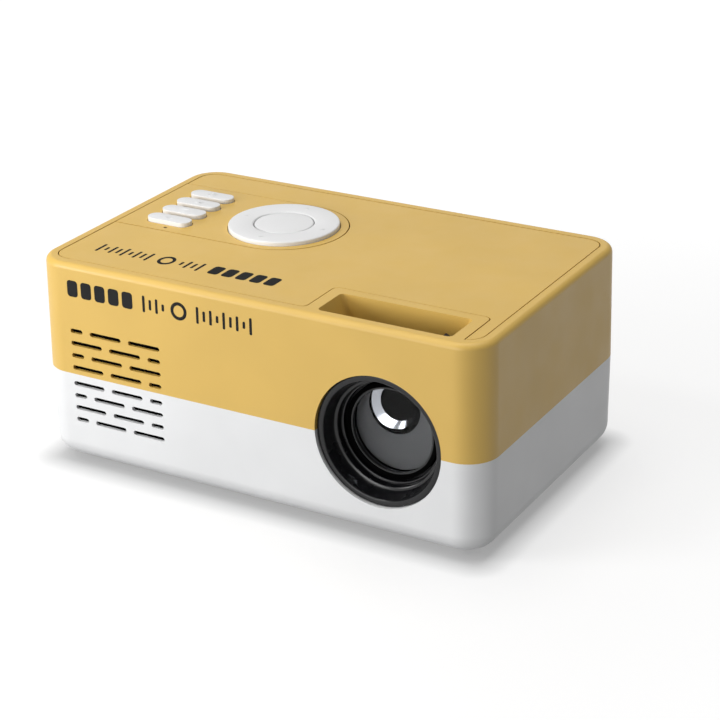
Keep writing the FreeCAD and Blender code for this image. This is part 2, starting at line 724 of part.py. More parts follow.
mount_tube = lens_turned("mount_tube", [
    ("barrel_radius + running_gap", "0"),
    ("15.2", "0"),
    ("15.2", "17.2"),
    ("barrel_radius + running_gap", "17.2"),
], "-engine_front - 17.4")
mount_flange = box("mount_flange", ("lens_x - 17.5", "lens_x + 17.5"),
                   ("-engine_front - 2.2", "-engine_front - 0.2"),
                   ("lens_z - 17.5", "lens_z + 17.5"))
flange_way = rod("flange_way", "y", "barrel_radius + running_gap", LENS,
                 ("-engine_front - 3", "-engine_front + 1"))
key_way = box("key_way", ("lens_x - 1.2", "lens_x + 1.2"), ("-engine_front - 18", "-engine_front + 1"),
              ("lens_z - barrel_radius - 1.3", "lens_z - barrel_radius + 1"))
CORNER_SIGNS = (("-", "-"), ("+", "-"), ("-", "+"), ("+", "+"))
flange_holes = [
    rod(f"flange_hole_{index}", "y", "1.1", (f"lens_x {across} 15", f"lens_z {up} 15"),
        ("-engine_front - 3", "-engine_front + 1"))
    for index, (across, up) in enumerate(CORNER_SIGNS)
]
keep(cut("lens_mount_solid", fuse("mount_solid", [mount_tube, mount_flange]),
         [flange_way, key_way] + flange_holes), "lens_mount")

ring_tube = lens_turned("focus_tube", [
    ("barrel_radius + running_gap", "0"),
    ("17.4", "0"),
    ("17.4", "8"),
    ("15.26", "8"),
    ("15.26", "4"),
    ("barrel_radius + running_gap", "4"),
], f"{FRONT} + 10.1")
lever_block = doc.addObject("Part::Wedge", "lever_block")
for prop, formula in (
    ("Xmin", "-3.2"), ("Xmax", "3.2"), ("X2min", "-2.1"), ("X2max", "2.1"),
    ("Zmin", "-1.2"), ("Zmax", "1.2"), ("Z2min", "-1.2"), ("Z2max", "1.2"),
    ("Ymin", "17.0"), ("Ymax", "lever_radius"),
):
    lever_block.setExpression(prop, linked(formula))
lever_turn = Rotation(Vector(0, 1, 0), number("lever_tilt")) * Rotation(Vector(1, 0, 0), 90)
place(lever_block, "lens_x", f"{FRONT} + 11.4", "lens_z", lever_turn)
keep(fuse("focus_ring_solid", [ring_tube, lever_block]), "focus_lever")

# ---------------------------------------------------------------- light engine
engine_block = box("engine_block", ("-engine_left", "engine_right"), ("-engine_front", "engine_back"),
                   ("engine_bottom", "engine_top"))
engine_inside = box("engine_inside", ("-engine_left - 1", "engine_right - engine_wall"),
                    ("-engine_front + engine_wall", "engine_back - engine_wall"),
                    ("engine_bottom + engine_wall", "engine_top + 1"))
EAR_SPANS = {
    "left_front": ("-20.8", "-engine_front + 0.5"),
    "right_front": ("-20.8", "-engine_front + 0.5"),
    "left_rear": ("engine_back - 0.5", "38.8"),
    "right_rear": ("engine_back - 0.5", "38.8"),
}
engine_ears = [
    box("engine_ear_" + spot, (f"{engine_feet[spot][0]} - 2.8", f"{engine_feet[spot][0]} + 2.8"), y_span,
        ("engine_bottom", "engine_bottom + 2"))
    for spot, y_span in EAR_SPANS.items()
]
engine_cuts = [engine_inside,
               box("ribbon_way", ("6.5", "7.6"), ("0.4", "19.6"),
                   ("engine_bottom - 1", "engine_bottom + 3")),
               rod("engine_lens_way", "y", "14.0", LENS,
                   ("-engine_front - 1", "-engine_front + engine_wall + 1"))]
engine_cuts += [
    rod("engine_ear_hole_" + spot, "z", "1.2", middle, ("engine_bottom - 1", "engine_bottom + 3"))
    for spot, middle in engine_feet.items()
]
engine_cuts += [
    rod(f"engine_flange_pilot_{index}", "y", "0.8", (f"lens_x {across} 15", f"lens_z {up} 15"),
        ("-engine_front - 1", "-engine_front + engine_wall + 1"))
    for index, (across, up) in enumerate(CORNER_SIGNS)
]
keep(cut("engine_housing_solid", fuse("engine_solid", [engine_block] + engine_ears), engine_cuts),
     "engine_housing")
keep(box("engine_lid", ("-engine_left", "engine_right"), ("-engine_front", "engine_back"),
         ("engine_top", "engine_top + 1.6")), "engine_cover")

mirror_plate = doc.addObject("Part::Box", "mirror_plate")
mirror_plate.setExpression("Length", linked("mirror_length"))
mirror_plate.setExpression("Width", linked("mirror_thick"))
mirror_plate.setExpression("Height", linked("mirror_height"))
mirror_turn = Rotation(Vector(0, 0, 1), -45)
place(mirror_plate, "lens_x - 16.3", "path_y + 16.3", "lens_z - mirror_height/2", mirror_turn)
keep(mirror_plate, "fold_mirror")


def path_sheet(name, low, thick, half_depth="19.3", half_height="17.4"):
    """A thin optical sheet that stands across the light path."""
    return box(name, (low, f"{low} + {thick}"), (f"path_y - {half_depth}", f"path_y + {half_depth}"),
               (f"lens_z - {half_height}", f"lens_z + {half_height}"))


keep(path_sheet("heat_glass_sheet", "-1", "1.1"), "heat_glass")
keep(path_sheet("rear_fresnel_sheet", "2.4", "1.5"), "rear_fresnel")
keep(path_sheet("lcd_sheet", "6.2", "1.8"), "lcd_panel")
keep(path_sheet("front_fresnel_sheet", "10.4", "1.5"), "front_fresnel")


def light_pyramid(name, small, large, low, high):
    """A square pyramid of light that widens along X."""
    wedge = doc.addObject("Part::Wedge", name)
    for prop, formula in (
        ("Xmin", f"-({small})"), ("Xmax", small),
        ("X2min", f"-({large}) - 1.6"), ("X2max", f"({large}) + 1.6"),
        ("Zmin", f"-({small})"), ("Zmax", small), ("Z2min", f"-({large})"), ("Z2max", large),
        ("Ymin", low), ("Ymax", high),
    ):
        wedge.setExpression(prop, linked(formula))
    return place(wedge, "0", "path_y", "lens_z", Rotation(Vector(0, 0, 1), -90))


keep(cut("light_cone_solid", light_pyramid("cone_outside", "10.4", "17", "-22.4", "-4.4"),
         [light_pyramid("cone_inside", "9.2", "16", "-22.5", "-4.3")]), "light_cone")
keep(place(turned("condenser_body", [
    ("0", "0"), ("9.0", "0"), ("9.0", "1.5"), ("7.6", "3.6"), ("5.2", "5.2"), ("2.6", "6.0"), ("0", "6.2"),
]), "-22.2", "path_y", "lens_z", TURNS["x"]), "condenser_lens")
keep(box("led_plate", ("-25.4", "-23.8"), ("path_y - 11", "path_y + 11"), ("lens_z - 11", "lens_z + 11")),
     "led_board")
keep(box("led_die", ("-23.8", "-22.8"), ("path_y - 4", "path_y + 4"), ("lens_z - 4", "lens_z + 4")),
     "led_chip")

SINK_WIDTH = ("path_y - sink_half_width", "path_y + sink_half_width")
SINK_FINS = 9
sink_parts = [box("sink_base", ("-29", "-25.4"), SINK_WIDTH,
                  ("lens_z - sink_half_height", "lens_z + sink_half_height"))]
for index in range(SINK_FINS):
    low = f"lens_z - sink_half_height + {index}*sink_fin_pitch"
    sink_parts.append(box(f"sink_fin_{index}", ("-55", "-28.9"), SINK_WIDTH,
                          (low, f"{low} + sink_fin_thick")))
keep(fuse("sink_solid", sink_parts), "heat_sink")

# ---------------------------------------------------------------- fan
FAN_SPAN = ("-fan_front", "-fan_front + fan_depth")
FAN_MIDDLE = ("-fan_x", "fan_z")
fan_block = box("fan_block", ("-fan_x - fan_side/2", "-fan_x + fan_side/2"), FAN_SPAN,
                ("fan_z - fan_side/2", "fan_z + fan_side/2"))
fan_cuts = [rod("fan_bore", "y", "fan_bore", FAN_MIDDLE, ("-fan_front - 1", "-fan_front + fan_depth + 1"))]
fan_cuts += [
    rod(f"fan_hole_{index}", "y", "1.7", (f"-fan_x {across} 16", f"fan_z {up} 16"),
        ("-fan_front - 1", "-fan_front + fan_depth + 1"))
    for index, (across, up) in enumerate(CORNER_SIGNS)
]
fan_hoop = cut("fan_hoop", fan_block, fan_cuts)
HUB_BACK = ("-fan_front + fan_depth - 1.4", "-fan_front + fan_depth")
fan_parts = [fan_hoop, rod("fan_hub_plate", "y", "9", FAN_MIDDLE, HUB_BACK),
             box("fan_strut_level", ("-fan_x - fan_strut", "-fan_x + fan_strut"), HUB_BACK,
                 ("fan_z - 0.9", "fan_z + 0.9")),
             box("fan_strut_upright", ("-fan_x - 0.9", "-fan_x + 0.9"), HUB_BACK,
                 ("fan_z - fan_strut", "fan_z + fan_strut")),
             rod("fan_pin", "y", "1.0", FAN_MIDDLE, ("-fan_front + 3", "-fan_front + fan_depth - 1"))]
keep(fuse("fan_frame_solid", fan_parts), "fan_frame")

BLADES = 7
hub_cup = place(turned("hub_cup", [
    ("0", "0"), ("8.4", "0"), ("8.8", "0.4"), ("8.8", "7"), ("7.8", "7"), ("7.8", "1.2"),
    ("3", "1.2"), ("3", "6.4"), ("1.05", "6.4"), ("1.05", "1.2"), ("0", "1.2"),
]), "-fan_x", "-fan_front + 0.9", "fan_z", TURNS["y"])
blades = []
for index in range(BLADES):
    blade = doc.addObject("Part::Box", f"blade_{index}")
    blade.setExpression("Length", linked("blade_length"))
    blade.setExpression("Width", linked("blade_thick"))
    blade.setExpression("Height", linked("blade_chord"))
    pitch = Rotation(Vector(1, 0, 0), -SIZES["blade_pitch"])
    spin = Rotation(Vector(0, 1, 0), index * 360.0 / BLADES)
    turn = spin * pitch
    start = turn.multVec(Vector(8.2, -SIZES["blade_thick"] / 2, -SIZES["blade_chord"] / 2))
    place(blade, f"-fan_x + ({start.x})", f"-fan_front + 4.4 + ({start.y})", f"fan_z + ({start.z})", turn)
    blades.append(blade)
keep(fuse("fan_rotor_solid", [hub_cup] + blades), "fan_rotor")

# ---------------------------------------------------------------- main board and sockets
BOARD_TOP = "(board_bottom + board_thick)"
board_blank = box("board_blank", ("-61", "57.5"), ("-4", "40.4"), ("board_bottom", BOARD_TOP))
board_cuts = [
    rod("board_hole_" + spot, "z", "1.2", middle, ("board_bottom - 1", f"{BOARD_TOP} + 1"))
    for spot, middle in board_posts.items()
]
board_cuts += [
    rod("board_clear_" + spot, "z", "3.4", engine_feet[spot], ("board_bottom - 1", f"{BOARD_TOP} + 1"))
    for spot in ("left_rear", "right_rear")
]
board_cuts.append(rod("board_post_clear", "z", "post_radius + 0.6", POSTS["left_rear"],
                      ("board_bottom - 1", f"{BOARD_TOP} + 1")))
keep(cut("main_board_solid", board_blank, board_cuts), "main_board")
chip_spots = {"scaler": ("-44", "8", "7"), "memory": ("-26", "20", "5"), "driver": ("16", "4", "4")}
keep(group("chip_group", [
    box(name + "_chip", (f"{x} - {half}", f"{x} + {half}"), (f"{y} - {half}", f"{y} + {half}"),
        (BOARD_TOP, f"{BOARD_TOP} + 1.2"))
    for name, (x, y, half) in chip_spots.items()
]), "board_chips")
capacitor_spots = {"input": ("-52", "36", "4"), "lamp": ("-26.6", "36.4", "8"), "sound": ("-52", "18", "4")}
keep(group("capacitor_group", [
    rod(name + "_capacitor", "z", "2.8", (x, y), (BOARD_TOP, f"{BOARD_TOP} + {tall}"))
    for name, (x, y, tall) in capacitor_spots.items()
]), "board_capacitors")

SOCKET_FACE = f"({BACK} - 0.3)"
SOCKET_DEEP = "32.4"


def socket(name, spans, hollow, extra=()):
    """A socket shell that opens backwards, on the board."""
    left, right, low, high = spans
    shell = box(name + "_shell", (left, right), (SOCKET_DEEP, SOCKET_FACE), (low, high))
    inside = box(name + "_inside", (hollow[0], hollow[1]), (f"{SOCKET_DEEP} + 1.2", f"{BACK} + 1"),
                 (hollow[2], hollow[3]))
    body = cut(name + "_cup", shell, [inside])
    return fuse(name + "_solid", [body] + list(extra)) if extra else body


hdmi_tongue = box("hdmi_tongue", ("-43.6", "-33.4"), (SOCKET_DEEP, "41"), ("9.3", "10.4"))
keep(socket("hdmi", ("-46", "-31", BOARD_TOP, "12.7"), ("-45.4", "-31.6", "7.6", "12.1"), [hdmi_tongue]),
     "hdmi_socket")
usb_tongue = box("usb_tongue", ("-21.0", "-10.0"), (SOCKET_DEEP, "41"), ("10.6", "12.3"))
keep(socket("usb", ("-22.2", "-8.8", BOARD_TOP, "13.4"), ("-21.6", "-9.4", "7.6", "12.8"), [usb_tongue]),
     "usb_socket")
keep(socket("card", ("7.0", "21.0", BOARD_TOP, "9.5"), ("8.0", "20.0", "7.8", "9.0")), "card_socket")
jack_block = box("jack_block", (f"{JACK[0]} - 3.4", f"{JACK[0]} + 3.4"), (SOCKET_DEEP, "40.9"),
                 (BOARD_TOP, f"{JACK[1]} + 3.3"))
jack_nose = rod("jack_nose", "y", "3.1", JACK, ("40.8", SOCKET_FACE))
keep(cut("jack_solid", fuse("jack_outside", [jack_block, jack_nose]),
         [rod("jack_bore", "y", "1.75", JACK, (f"{SOCKET_DEEP} + 1", f"{BACK} + 1"))]), "av_jack")
inlet_block = box("inlet_block", (f"{INLET[0]} - 4.8", f"{INLET[0]} + 4.8"), ("32.8", "40.9"),
                  (BOARD_TOP, f"{INLET[1]} + 4.8"))
inlet_nose = rod("inlet_nose", "y", "4.0", INLET, ("40.8", SOCKET_FACE))
inlet_cup = cut("inlet_cup", fuse("inlet_outside", [inlet_block, inlet_nose]),
                [rod("inlet_bore", "y", "2.75", INLET, ("34.4", f"{BACK} + 1"))])
inlet_pin = rod("inlet_pin", "y", "1.0", INLET, ("34.3", "42.4"))
keep(fuse("inlet_solid", [inlet_cup, inlet_pin]), "dc_inlet")
ir_leg = box("ir_leg", (f"{IR_EYE[0]} - 1.2", f"{IR_EYE[0]} + 1.2"), ("38.9", "39.9"), (BOARD_TOP, "15.6"))
ir_case = box("ir_case", (f"{IR_EYE[0]} - 3", f"{IR_EYE[0]} + 3"), ("37.6", "40.4"), ("15.4", "20.6"))
ir_dome = rod("ir_dome", "y", "1.9", IR_EYE, ("40.3", "43.2"))
keep(fuse("ir_solid", [ir_leg, ir_case, ir_dome]), "ir_receiver")

# ---------------------------------------------------------------- speaker, feet, tripod insert
speaker_plate = box("speaker_plate", ("-67.6", "-66.2"), ("0", "24"), ("9.4", "27.8"))
speaker_magnet = rod("speaker_magnet", "x", "6.5", ("12", "18.6"), ("-66.3", "-60.2"))
keep(fuse("speaker_solid", [speaker_plate, speaker_magnet]), "speaker")
foot_bodies = []
for spot, (x, y) in FEET.items():
    foot = turned("foot_" + spot, [
        ("0", "0"), ("2.9", "0"), ("3.5", "0.7"), ("3.5", "foot_height + 0.75"), ("0", "foot_height + 0.75"),
    ])
    foot_bodies.append(place(foot, x, y, "0"))
keep(group("foot_group", foot_bodies), "feet")
keep(place(turned("insert_body", [
    ("3.175", "0"), ("4.5", "0"), ("4.5", "6.8"), ("0", "6.8"), ("0", "6.2"), ("3.175", "6.2"),
]), "0", "-30", "foot_height + 0.6"), "tripod_insert")

# ---------------------------------------------------------------- screws
keep(group("case_screw_group", [
    fuse("case_screw_" + spot, [
        rod("case_screw_head_" + spot, "z", "2.1", middle, ("foot_height + 5.4", "foot_height + 7.2")),
        rod("case_screw_shank_" + spot, "z", "0.8", middle, ("foot_height + 7.1", f"{SPLIT} + 7.5")),
    ]) for spot, middle in POSTS.items()
]), "case_screws")
chassis_screws = [("board_screw_" + spot, middle, BOARD_TOP) for spot, middle in board_posts.items()]
chassis_screws += [
    ("engine_screw_" + spot, middle, "(engine_bottom + 2)") for spot, middle in engine_feet.items()
]
keep(group("chassis_screw_group", [
    fuse(name, [
        rod(name + "_head", "z", "2.0", middle, (seat, f"{seat} + 1.3")),
        rod(name + "_shank", "z", "0.75", middle, (f"{seat} - 3", f"{seat} + 0.1")),
    ]) for name, middle, seat in chassis_screws
]), "chassis_screws")
keep(group("mount_screw_group", [
    fuse(f"mount_screw_{index}", [
        rod(f"mount_screw_head_{index}", "y", "1.8", (f"lens_x {across} 15", f"lens_z {up} 15"),
            ("-engine_front - 3.4", "-engine_front - 2.2")),
        rod(f"mount_screw_shank_{index}", "y", "0.75", (f"lens_x {across} 15", f"lens_z {up} 15"),
            ("-engine_front - 2.3", "-engine_front + 1.6")),
    ]) for index, (across, up) in enumerate(CORNER_SIGNS)
]), "mount_screws")

# ---------------------------------------------------------------- plugs, ribbons and leads
RIBBON_Y = ("28.7", "30.9")
keep(group("plug_group", [
    box("ribbon_socket_low", ("-30.6", "-22.9"), RIBBON_Y, (BOARD_TOP, f"{BOARD_TOP} + 2")),
    box("ribbon_socket_high", ("-30.6", "-22.9"), RIBBON_Y, ("pad_board_bottom - 2", "pad_board_bottom")),
    box("lcd_socket", ("5.8", "8.3"), ("0.2", "19.8"), (BOARD_TOP, f"{BOARD_TOP} + 1.4")),
    box("fan_plug", ("-21", "-15"), ("-3.4", "0.6"), (BOARD_TOP, f"{BOARD_TOP} + 3")),
    box("led_plug", ("-17", "-12.6"), ("7", "13"), (BOARD_TOP, f"{BOARD_TOP} + 3")),
    box("speaker_plug", ("-58", "-54"), ("6", "11"), (BOARD_TOP, f"{BOARD_TOP} + 3")),
]), "board_plugs")
keep(box("pad_ribbon", ("-30.2", "-23.3"), ("29.7", "29.9"), (f"{BOARD_TOP} + 2", "pad_board_bottom - 2")),
     "keypad_ribbon")
keep(box("lcd_flex", ("6.95", "7.15"), ("1", "19"), (f"{BOARD_TOP} + 1.4", "lens_z - 17.4")), "lcd_ribbon")


def strand(route, radius):
    """A round wire of straight runs joined by arcs as large as the runs allow."""
    points = [Vector(*point) for point in route]
    edges = []
    start = points[0]
    for before, corner, after in zip(points, points[1:], points[2:]):
        into = (corner - before).normalize()
        out = (after - corner).normalize()
        half_turn = into.getAngle(out) / 2
        reach = 0.45 * min((corner - before).Length, (after - corner).Length)
        bend = reach / math.tan(half_turn)
        first = corner - into * reach
        last = corner + out * reach
        middle = corner + (out - into).normalize() * (bend / math.cos(half_turn) - bend)
        edges.append(Part.LineSegment(start, first).toShape())
        edges.append(Part.Arc(first, middle, last).toShape())
        start = last
    edges.append(Part.LineSegment(start, points[-1]).toShape())
    path = Part.Wire(edges)
    ring_wire = Part.Wire([Part.Circle(points[0], points[1] - points[0], radius).toShape()])
    solid = path.makePipeShell([ring_wire], True, True)
    expected = math.pi * radius ** 2 * path.Length
    if abs(solid.Volume - expected) > 0.02 * expected:
        raise RuntimeError("a lead has the wrong volume")
    return solid


def lead(name, route, beside):
    """Two wires along a route, one for each pole, lying side by side in the beside direction."""
    radius = number("wire_radius")
    half_step = Vector(*beside) * number("wire_radius*1.1")
    pair = doc.addObject("Part::Feature", name)
    pair.Shape = Part.makeCompound([
        strand([Vector(*point) + half_step * side for point in route], radius) for side in (-1, 1)
    ])
    return pair


ALONG_X = (1, 0, 0)
ALONG_Y = (0, 1, 0)
keep(lead("fan_wires", [(-25.0, -30.2, 14.0), (-25.0, -24.6, 14.0), (-22.8, -17.0, 11.2),
                        (-18.4, -10.6, 9.0), (-18.0, -3.6, 8.6)], ALONG_X), "fan_lead")
keep(lead("led_wires", [(-24.6, 10.0, 18.4), (-24.6, 10.0, 13.6), (-22.0, 10.0, 9.6), (-17.3, 10.0, 8.6)],
          ALONG_Y), "led_lead")
keep(lead("speaker_wires", [(-66.0, 5.6, 12.4), (-63.2, 6.0, 12.0), (-60.8, 7.6, 9.6), (-58.4, 8.4, 8.7)],
          ALONG_Y), "speaker_lead")

# ---------------------------------------------------------------- checks and files
doc.recompute()
faults = [item.Name for item in doc.Objects if "Invalid" in item.State or "Error" in item.State]
if faults:
    raise RuntimeError("features that failed: " + ", ".join(faults))
for label, piece in nodes.items():
    if piece.Shape.isNull() or not piece.Shape.isValid() or not piece.Shape.Solids:
        raise RuntimeError("bad shape: " + label)
for label, piece in nodes.items():
    piece.Shape.exportStep(f"parts/{label}.step")
whole = Part.makeCompound([piece.Shape for piece in nodes.values()]).BoundBox
print(len(nodes), "sub-parts; box", [round(value, 2) for value in (
    whole.XMin, whole.YMin, whole.ZMin, whole.XMax, whole.YMax, whole.ZMax)])
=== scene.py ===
# %% [markdown]
# # A pocket home projector, finished in Blender
# The shapes that move and fit were settled in CAD. This lesson keeps that model as a fixed frame and gives
# it its looks: moulded cases with soft edges, inlaid plates, keys, a glossy lens surround and real glass.
# Every length is in metres, so a size in millimetres is multiplied by MM.

# %% Load the frame
import json
import math
import bmesh
import bpy
from mathutils import Matrix, Vector


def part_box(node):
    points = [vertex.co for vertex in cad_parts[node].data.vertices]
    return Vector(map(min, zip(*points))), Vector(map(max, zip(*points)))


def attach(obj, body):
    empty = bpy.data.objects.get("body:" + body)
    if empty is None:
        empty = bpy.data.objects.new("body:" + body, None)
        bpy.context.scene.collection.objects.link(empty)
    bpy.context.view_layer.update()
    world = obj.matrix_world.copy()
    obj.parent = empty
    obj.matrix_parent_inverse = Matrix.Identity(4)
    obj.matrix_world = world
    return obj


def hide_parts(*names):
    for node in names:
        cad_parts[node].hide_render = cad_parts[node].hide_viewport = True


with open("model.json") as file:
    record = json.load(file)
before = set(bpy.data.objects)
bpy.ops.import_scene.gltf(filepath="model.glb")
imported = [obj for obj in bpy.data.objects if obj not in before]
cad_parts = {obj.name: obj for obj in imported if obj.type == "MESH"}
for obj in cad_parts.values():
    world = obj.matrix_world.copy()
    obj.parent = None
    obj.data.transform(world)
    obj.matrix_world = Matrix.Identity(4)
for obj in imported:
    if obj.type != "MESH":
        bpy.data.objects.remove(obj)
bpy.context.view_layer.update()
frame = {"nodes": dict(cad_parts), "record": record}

MM = 0.001
cad = frame["nodes"]
print("nodes in the frame:", len(cad))

# %% [markdown]
# The frame says where everything is. A node's box gives its two corners, so the lens axis, the direction
# ring and the split between the two halves of the case are read from boxes instead of being typed again.


# %% Read the main places from the frame
def middle_of(node):
    low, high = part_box(node)
    return (Vector(low) + Vector(high)) / 2


case_low, case_high = (Vector(corner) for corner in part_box("lower_shell"))
WIDTH = case_high.x - case_low.x
DEPTH = case_high.y - case_low.y
SPLIT = case_high.z
BASE = case_low.z
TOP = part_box("upper_shell")[1][2]
FRONT = case_low.y
BACK = case_high.y
LENS = middle_of("lens_bezel")
RING = middle_of("nav_ring")
WALL = 2.0 * MM
print("case", round(WIDTH / MM, 2), "x", round(DEPTH / MM, 2), "mm, split at", round(SPLIT / MM, 2))

# %% [markdown]
# ## The camera
# A product shot uses a long lens from a little above and to the right. The camera looks back at the case
# from its own direction, so its turn is written as three axes: right, up and towards the camera. The frame
# leans a degree, as a hand-levelled camera does.

# %% Set up the camera
AZIMUTH = math.radians(30.07)
ELEVATION = math.radians(23.93)
LEAN = math.radians(-1.04)
DISTANCE = 4.2108 * WIDTH
AIM_RIGHT = 8.06 * MM
AIM_UP = -3.77 * MM

towards = Vector((math.sin(AZIMUTH) * math.cos(ELEVATION),
                  -math.cos(AZIMUTH) * math.cos(ELEVATION), math.sin(ELEVATION)))
level_right = towards.cross(Vector((0, 0, -1))).normalized()
level_up = towards.cross(level_right)
right = math.cos(LEAN) * level_right + math.sin(LEAN) * level_up
up = math.cos(LEAN) * level_up - math.sin(LEAN) * level_right
aim = Vector((0, 0, (BASE + TOP) / 2)) + AIM_RIGHT * level_right + AIM_UP * level_up
camera_data = bpy.data.cameras.new("camera")
camera_data.lens = 103.94
camera_data.sensor_width = 36
camera_data.clip_start = 0.01
camera = bpy.data.objects.new("camera", camera_data)
turn = Matrix((right, up, towards)).transposed()
camera.matrix_world = Matrix.Translation(aim + towards * DISTANCE) @ turn.to_4x4()
bpy.context.scene.collection.objects.link(camera)
bpy.context.scene.camera = camera
print("camera stands", round(DISTANCE, 3), "m away")

# %% [markdown]
# ## Light and floor
# A very broad light overhead lights the top and leaves only a soft pool of shade under the case. A second
# one, low and from the front left, lights the front and throws its shadow out of sight behind the case. The
# right end is left to the pale sky. A small panel brightens the front's left part, and a large one behind
# gives the top a sheen. A small one above draws bright lines on the rims of the lens surround.


# %% Light the studio
def sun_lamp(name, towards_lamp, strength, spread):
    lamp = bpy.data.lights.new(name, "SUN")
    lamp.energy = strength
    lamp.angle = math.radians(spread)
    holder = bpy.data.objects.new(name, lamp)
    holder.rotation_euler = Vector(towards_lamp).to_track_quat("Z", "Y").to_euler()
    bpy.context.scene.collection.objects.link(holder)
    return holder


def panel_lamp(name, place, target, size, power):
    lamp = bpy.data.lights.new(name, "AREA")
    lamp.shape = "RECTANGLE"
    lamp.size, lamp.size_y = size
    lamp.energy = power
    holder = bpy.data.objects.new(name, lamp)
    holder.location = place
    holder.rotation_euler = (Vector(place) - Vector(target)).to_track_quat("Z", "Y").to_euler()
    bpy.context.scene.collection.objects.link(holder)
    return holder


sun_lamp("overhead_light", (-0.05, 0.1, 1.0), 1.5, 50)
sun_lamp("front_light", (-0.2, -0.95, 0.14), 1.35, 30)
panel_lamp("left_panel", (-0.22, -0.23, 0.12), (-0.03, FRONT, SPLIT), (0.12, 0.1), 0.42)
panel_lamp("spark_panel", (-0.33, -0.35, 0.64), LENS, (0.2, 0.08), 0.9)
panel_lamp("rim_panel", (-0.22, -0.42, 0.36), LENS, (0.1, 0.03), 0.12)
panel_lamp("backdrop_panel", (-0.62, 0.95, 0.5), (0, 0, TOP), (1.2, 0.6), 1.3)
world = bpy.data.worlds.new("studio")
world.use_nodes = True
world.node_tree.nodes["Background"].inputs["Color"].default_value = (1.0, 1.0, 1.0, 1)
world.node_tree.nodes["Background"].inputs["Strength"].default_value = 0.22
bpy.context.scene.world = world
bpy.context.scene.view_settings.view_transform = "Standard"
print("lamps:", [item.name for item in bpy.data.lights])

# %% [markdown]
# ## Finishes
# Every finish is a Principled shader whose colour, roughness and bump are varied by noise read from Object
# coordinates, in metres. Four small helpers cover the detail that moulded, cast and rolled surfaces share:
# a faint mottle in the colour, patches of handling in the roughness, a fine grain in the bump and streaks
# for metal that was drawn or turned.


# %% Helpers for finishes
def new_finish(name, colour, roughness, metallic=0.0):
    """A material with a plain Principled shader, ready for detail."""
    material = bpy.data.materials.new(name)
    material.use_nodes = True
    shader = material.node_tree.nodes["Principled BSDF"]
    shader.inputs["Base Color"].default_value = (*colour, 1)
    shader.inputs["Roughness"].default_value = roughness
    shader.inputs["Metallic"].default_value = metallic
    return material


def noise_of(material, scale, detail=2.0, stretch=(1, 1, 1)):
    """Noise over Object coordinates; its scale is in blobs per metre."""
    tree = material.node_tree
    places = tree.nodes.new("ShaderNodeTexCoord")
    mapping = tree.nodes.new("ShaderNodeMapping")
    mapping.inputs["Scale"].default_value = stretch
    noise = tree.nodes.new("ShaderNodeTexNoise")
    noise.inputs["Scale"].default_value = scale
    noise.inputs["Detail"].default_value = detail
    tree.links.new(places.outputs["Object"], mapping.inputs["Vector"])
    tree.links.new(mapping.outputs["Vector"], noise.inputs["Vector"])
    return noise


def mottle(material, colour, spread, scale):
    """Lets the colour drift a little lighter and darker over the surface."""
    tree = material.node_tree
    ramp = tree.nodes.new("ShaderNodeValToRGB")
    ramp.color_ramp.elements[0].position = 0.35
    ramp.color_ramp.elements[1].position = 0.65
    ramp.color_ramp.elements[0].color = (*(channel * (1 - spread) for channel in colour), 1)
    ramp.color_ramp.elements[1].color = (*(min(channel * (1 + spread), 1) for channel in colour), 1)
    tree.links.new(noise_of(material, scale).outputs["Fac"], ramp.inputs["Fac"])
    tree.links.new(ramp.outputs["Color"], tree.nodes["Principled BSDF"].inputs["Base Color"])


def vary_roughness(material, low, high, scale, stretch=(1, 1, 1)):
    """Patches that are a little smoother or rougher, as handling leaves them."""
    tree = material.node_tree
    spread = tree.nodes.new("ShaderNodeMapRange")
    spread.inputs["From Min"].default_value = 0.3
    spread.inputs["From Max"].default_value = 0.7
    spread.inputs["To Min"].default_value = low
    spread.inputs["To Max"].default_value = high
    tree.links.new(noise_of(material, scale, 4, stretch).outputs["Fac"], spread.inputs["Value"])
    tree.links.new(spread.outputs["Result"], tree.nodes["Principled BSDF"].inputs["Roughness"])


def grain(material, scale, height, strength=1.0, stretch=(1, 1, 1)):
    """A fine raised texture; height is in metres."""
    tree = material.node_tree
    bump = tree.nodes.new("ShaderNodeBump")
    bump.inputs["Strength"].default_value = strength
    bump.inputs["Distance"].default_value = height
    tree.links.new(noise_of(material, scale, 3, stretch).outputs["Fac"], bump.inputs["Height"])
    tree.links.new(bump.outputs["Normal"], tree.nodes["Principled BSDF"].inputs["Normal"])


# %% [markdown]
# The case is moulded in two colours with the same fine spark-eroded grain, about a quarter of a millimetre
# across. The keys are smoother, the lens surround is glossy, and the inner mouldings are dull black.


# %% Plastics
def moulded(name, colour, roughness, spread=0.02, grain_size=0.25, grain_height=0.006):
    """Moulded plastic with a fine grain."""
    material = new_finish(name, colour, roughness)
    mottle(material, colour, spread, 45)
    vary_roughness(material, roughness - 0.05, roughness + 0.05, 120)
    grain(material, 1 / (grain_size * MM), grain_height * MM)
    return material


YELLOW = (0.70, 0.455, 0.105)
WHITE = (0.815, 0.82, 0.825)
yellow_plastic = moulded("yellow_plastic", YELLOW, 0.42)
white_plastic = moulded("white_plastic", WHITE, 0.40)
key_plastic = moulded("key_plastic", (0.79, 0.79, 0.79), 0.33, grain_height=0.003)
black_plastic = moulded("black_plastic", (0.012, 0.012, 0.013), 0.5)
black_resin = moulded("black_resin", (0.02, 0.02, 0.022), 0.45)
cream_nylon = moulded("cream_nylon", (0.65, 0.61, 0.5), 0.5)
foot_rubber = moulded("foot_rubber", (0.62, 0.62, 0.6), 0.6, grain_height=0.01)
wire_sheath = moulded("wire_sheath", (0.32, 0.02, 0.015), 0.45)
ribbon_white = moulded("ribbon_white", (0.7, 0.7, 0.7), 0.5)
ribbon_amber = moulded("ribbon_amber", (0.35, 0.14, 0.02), 0.3)


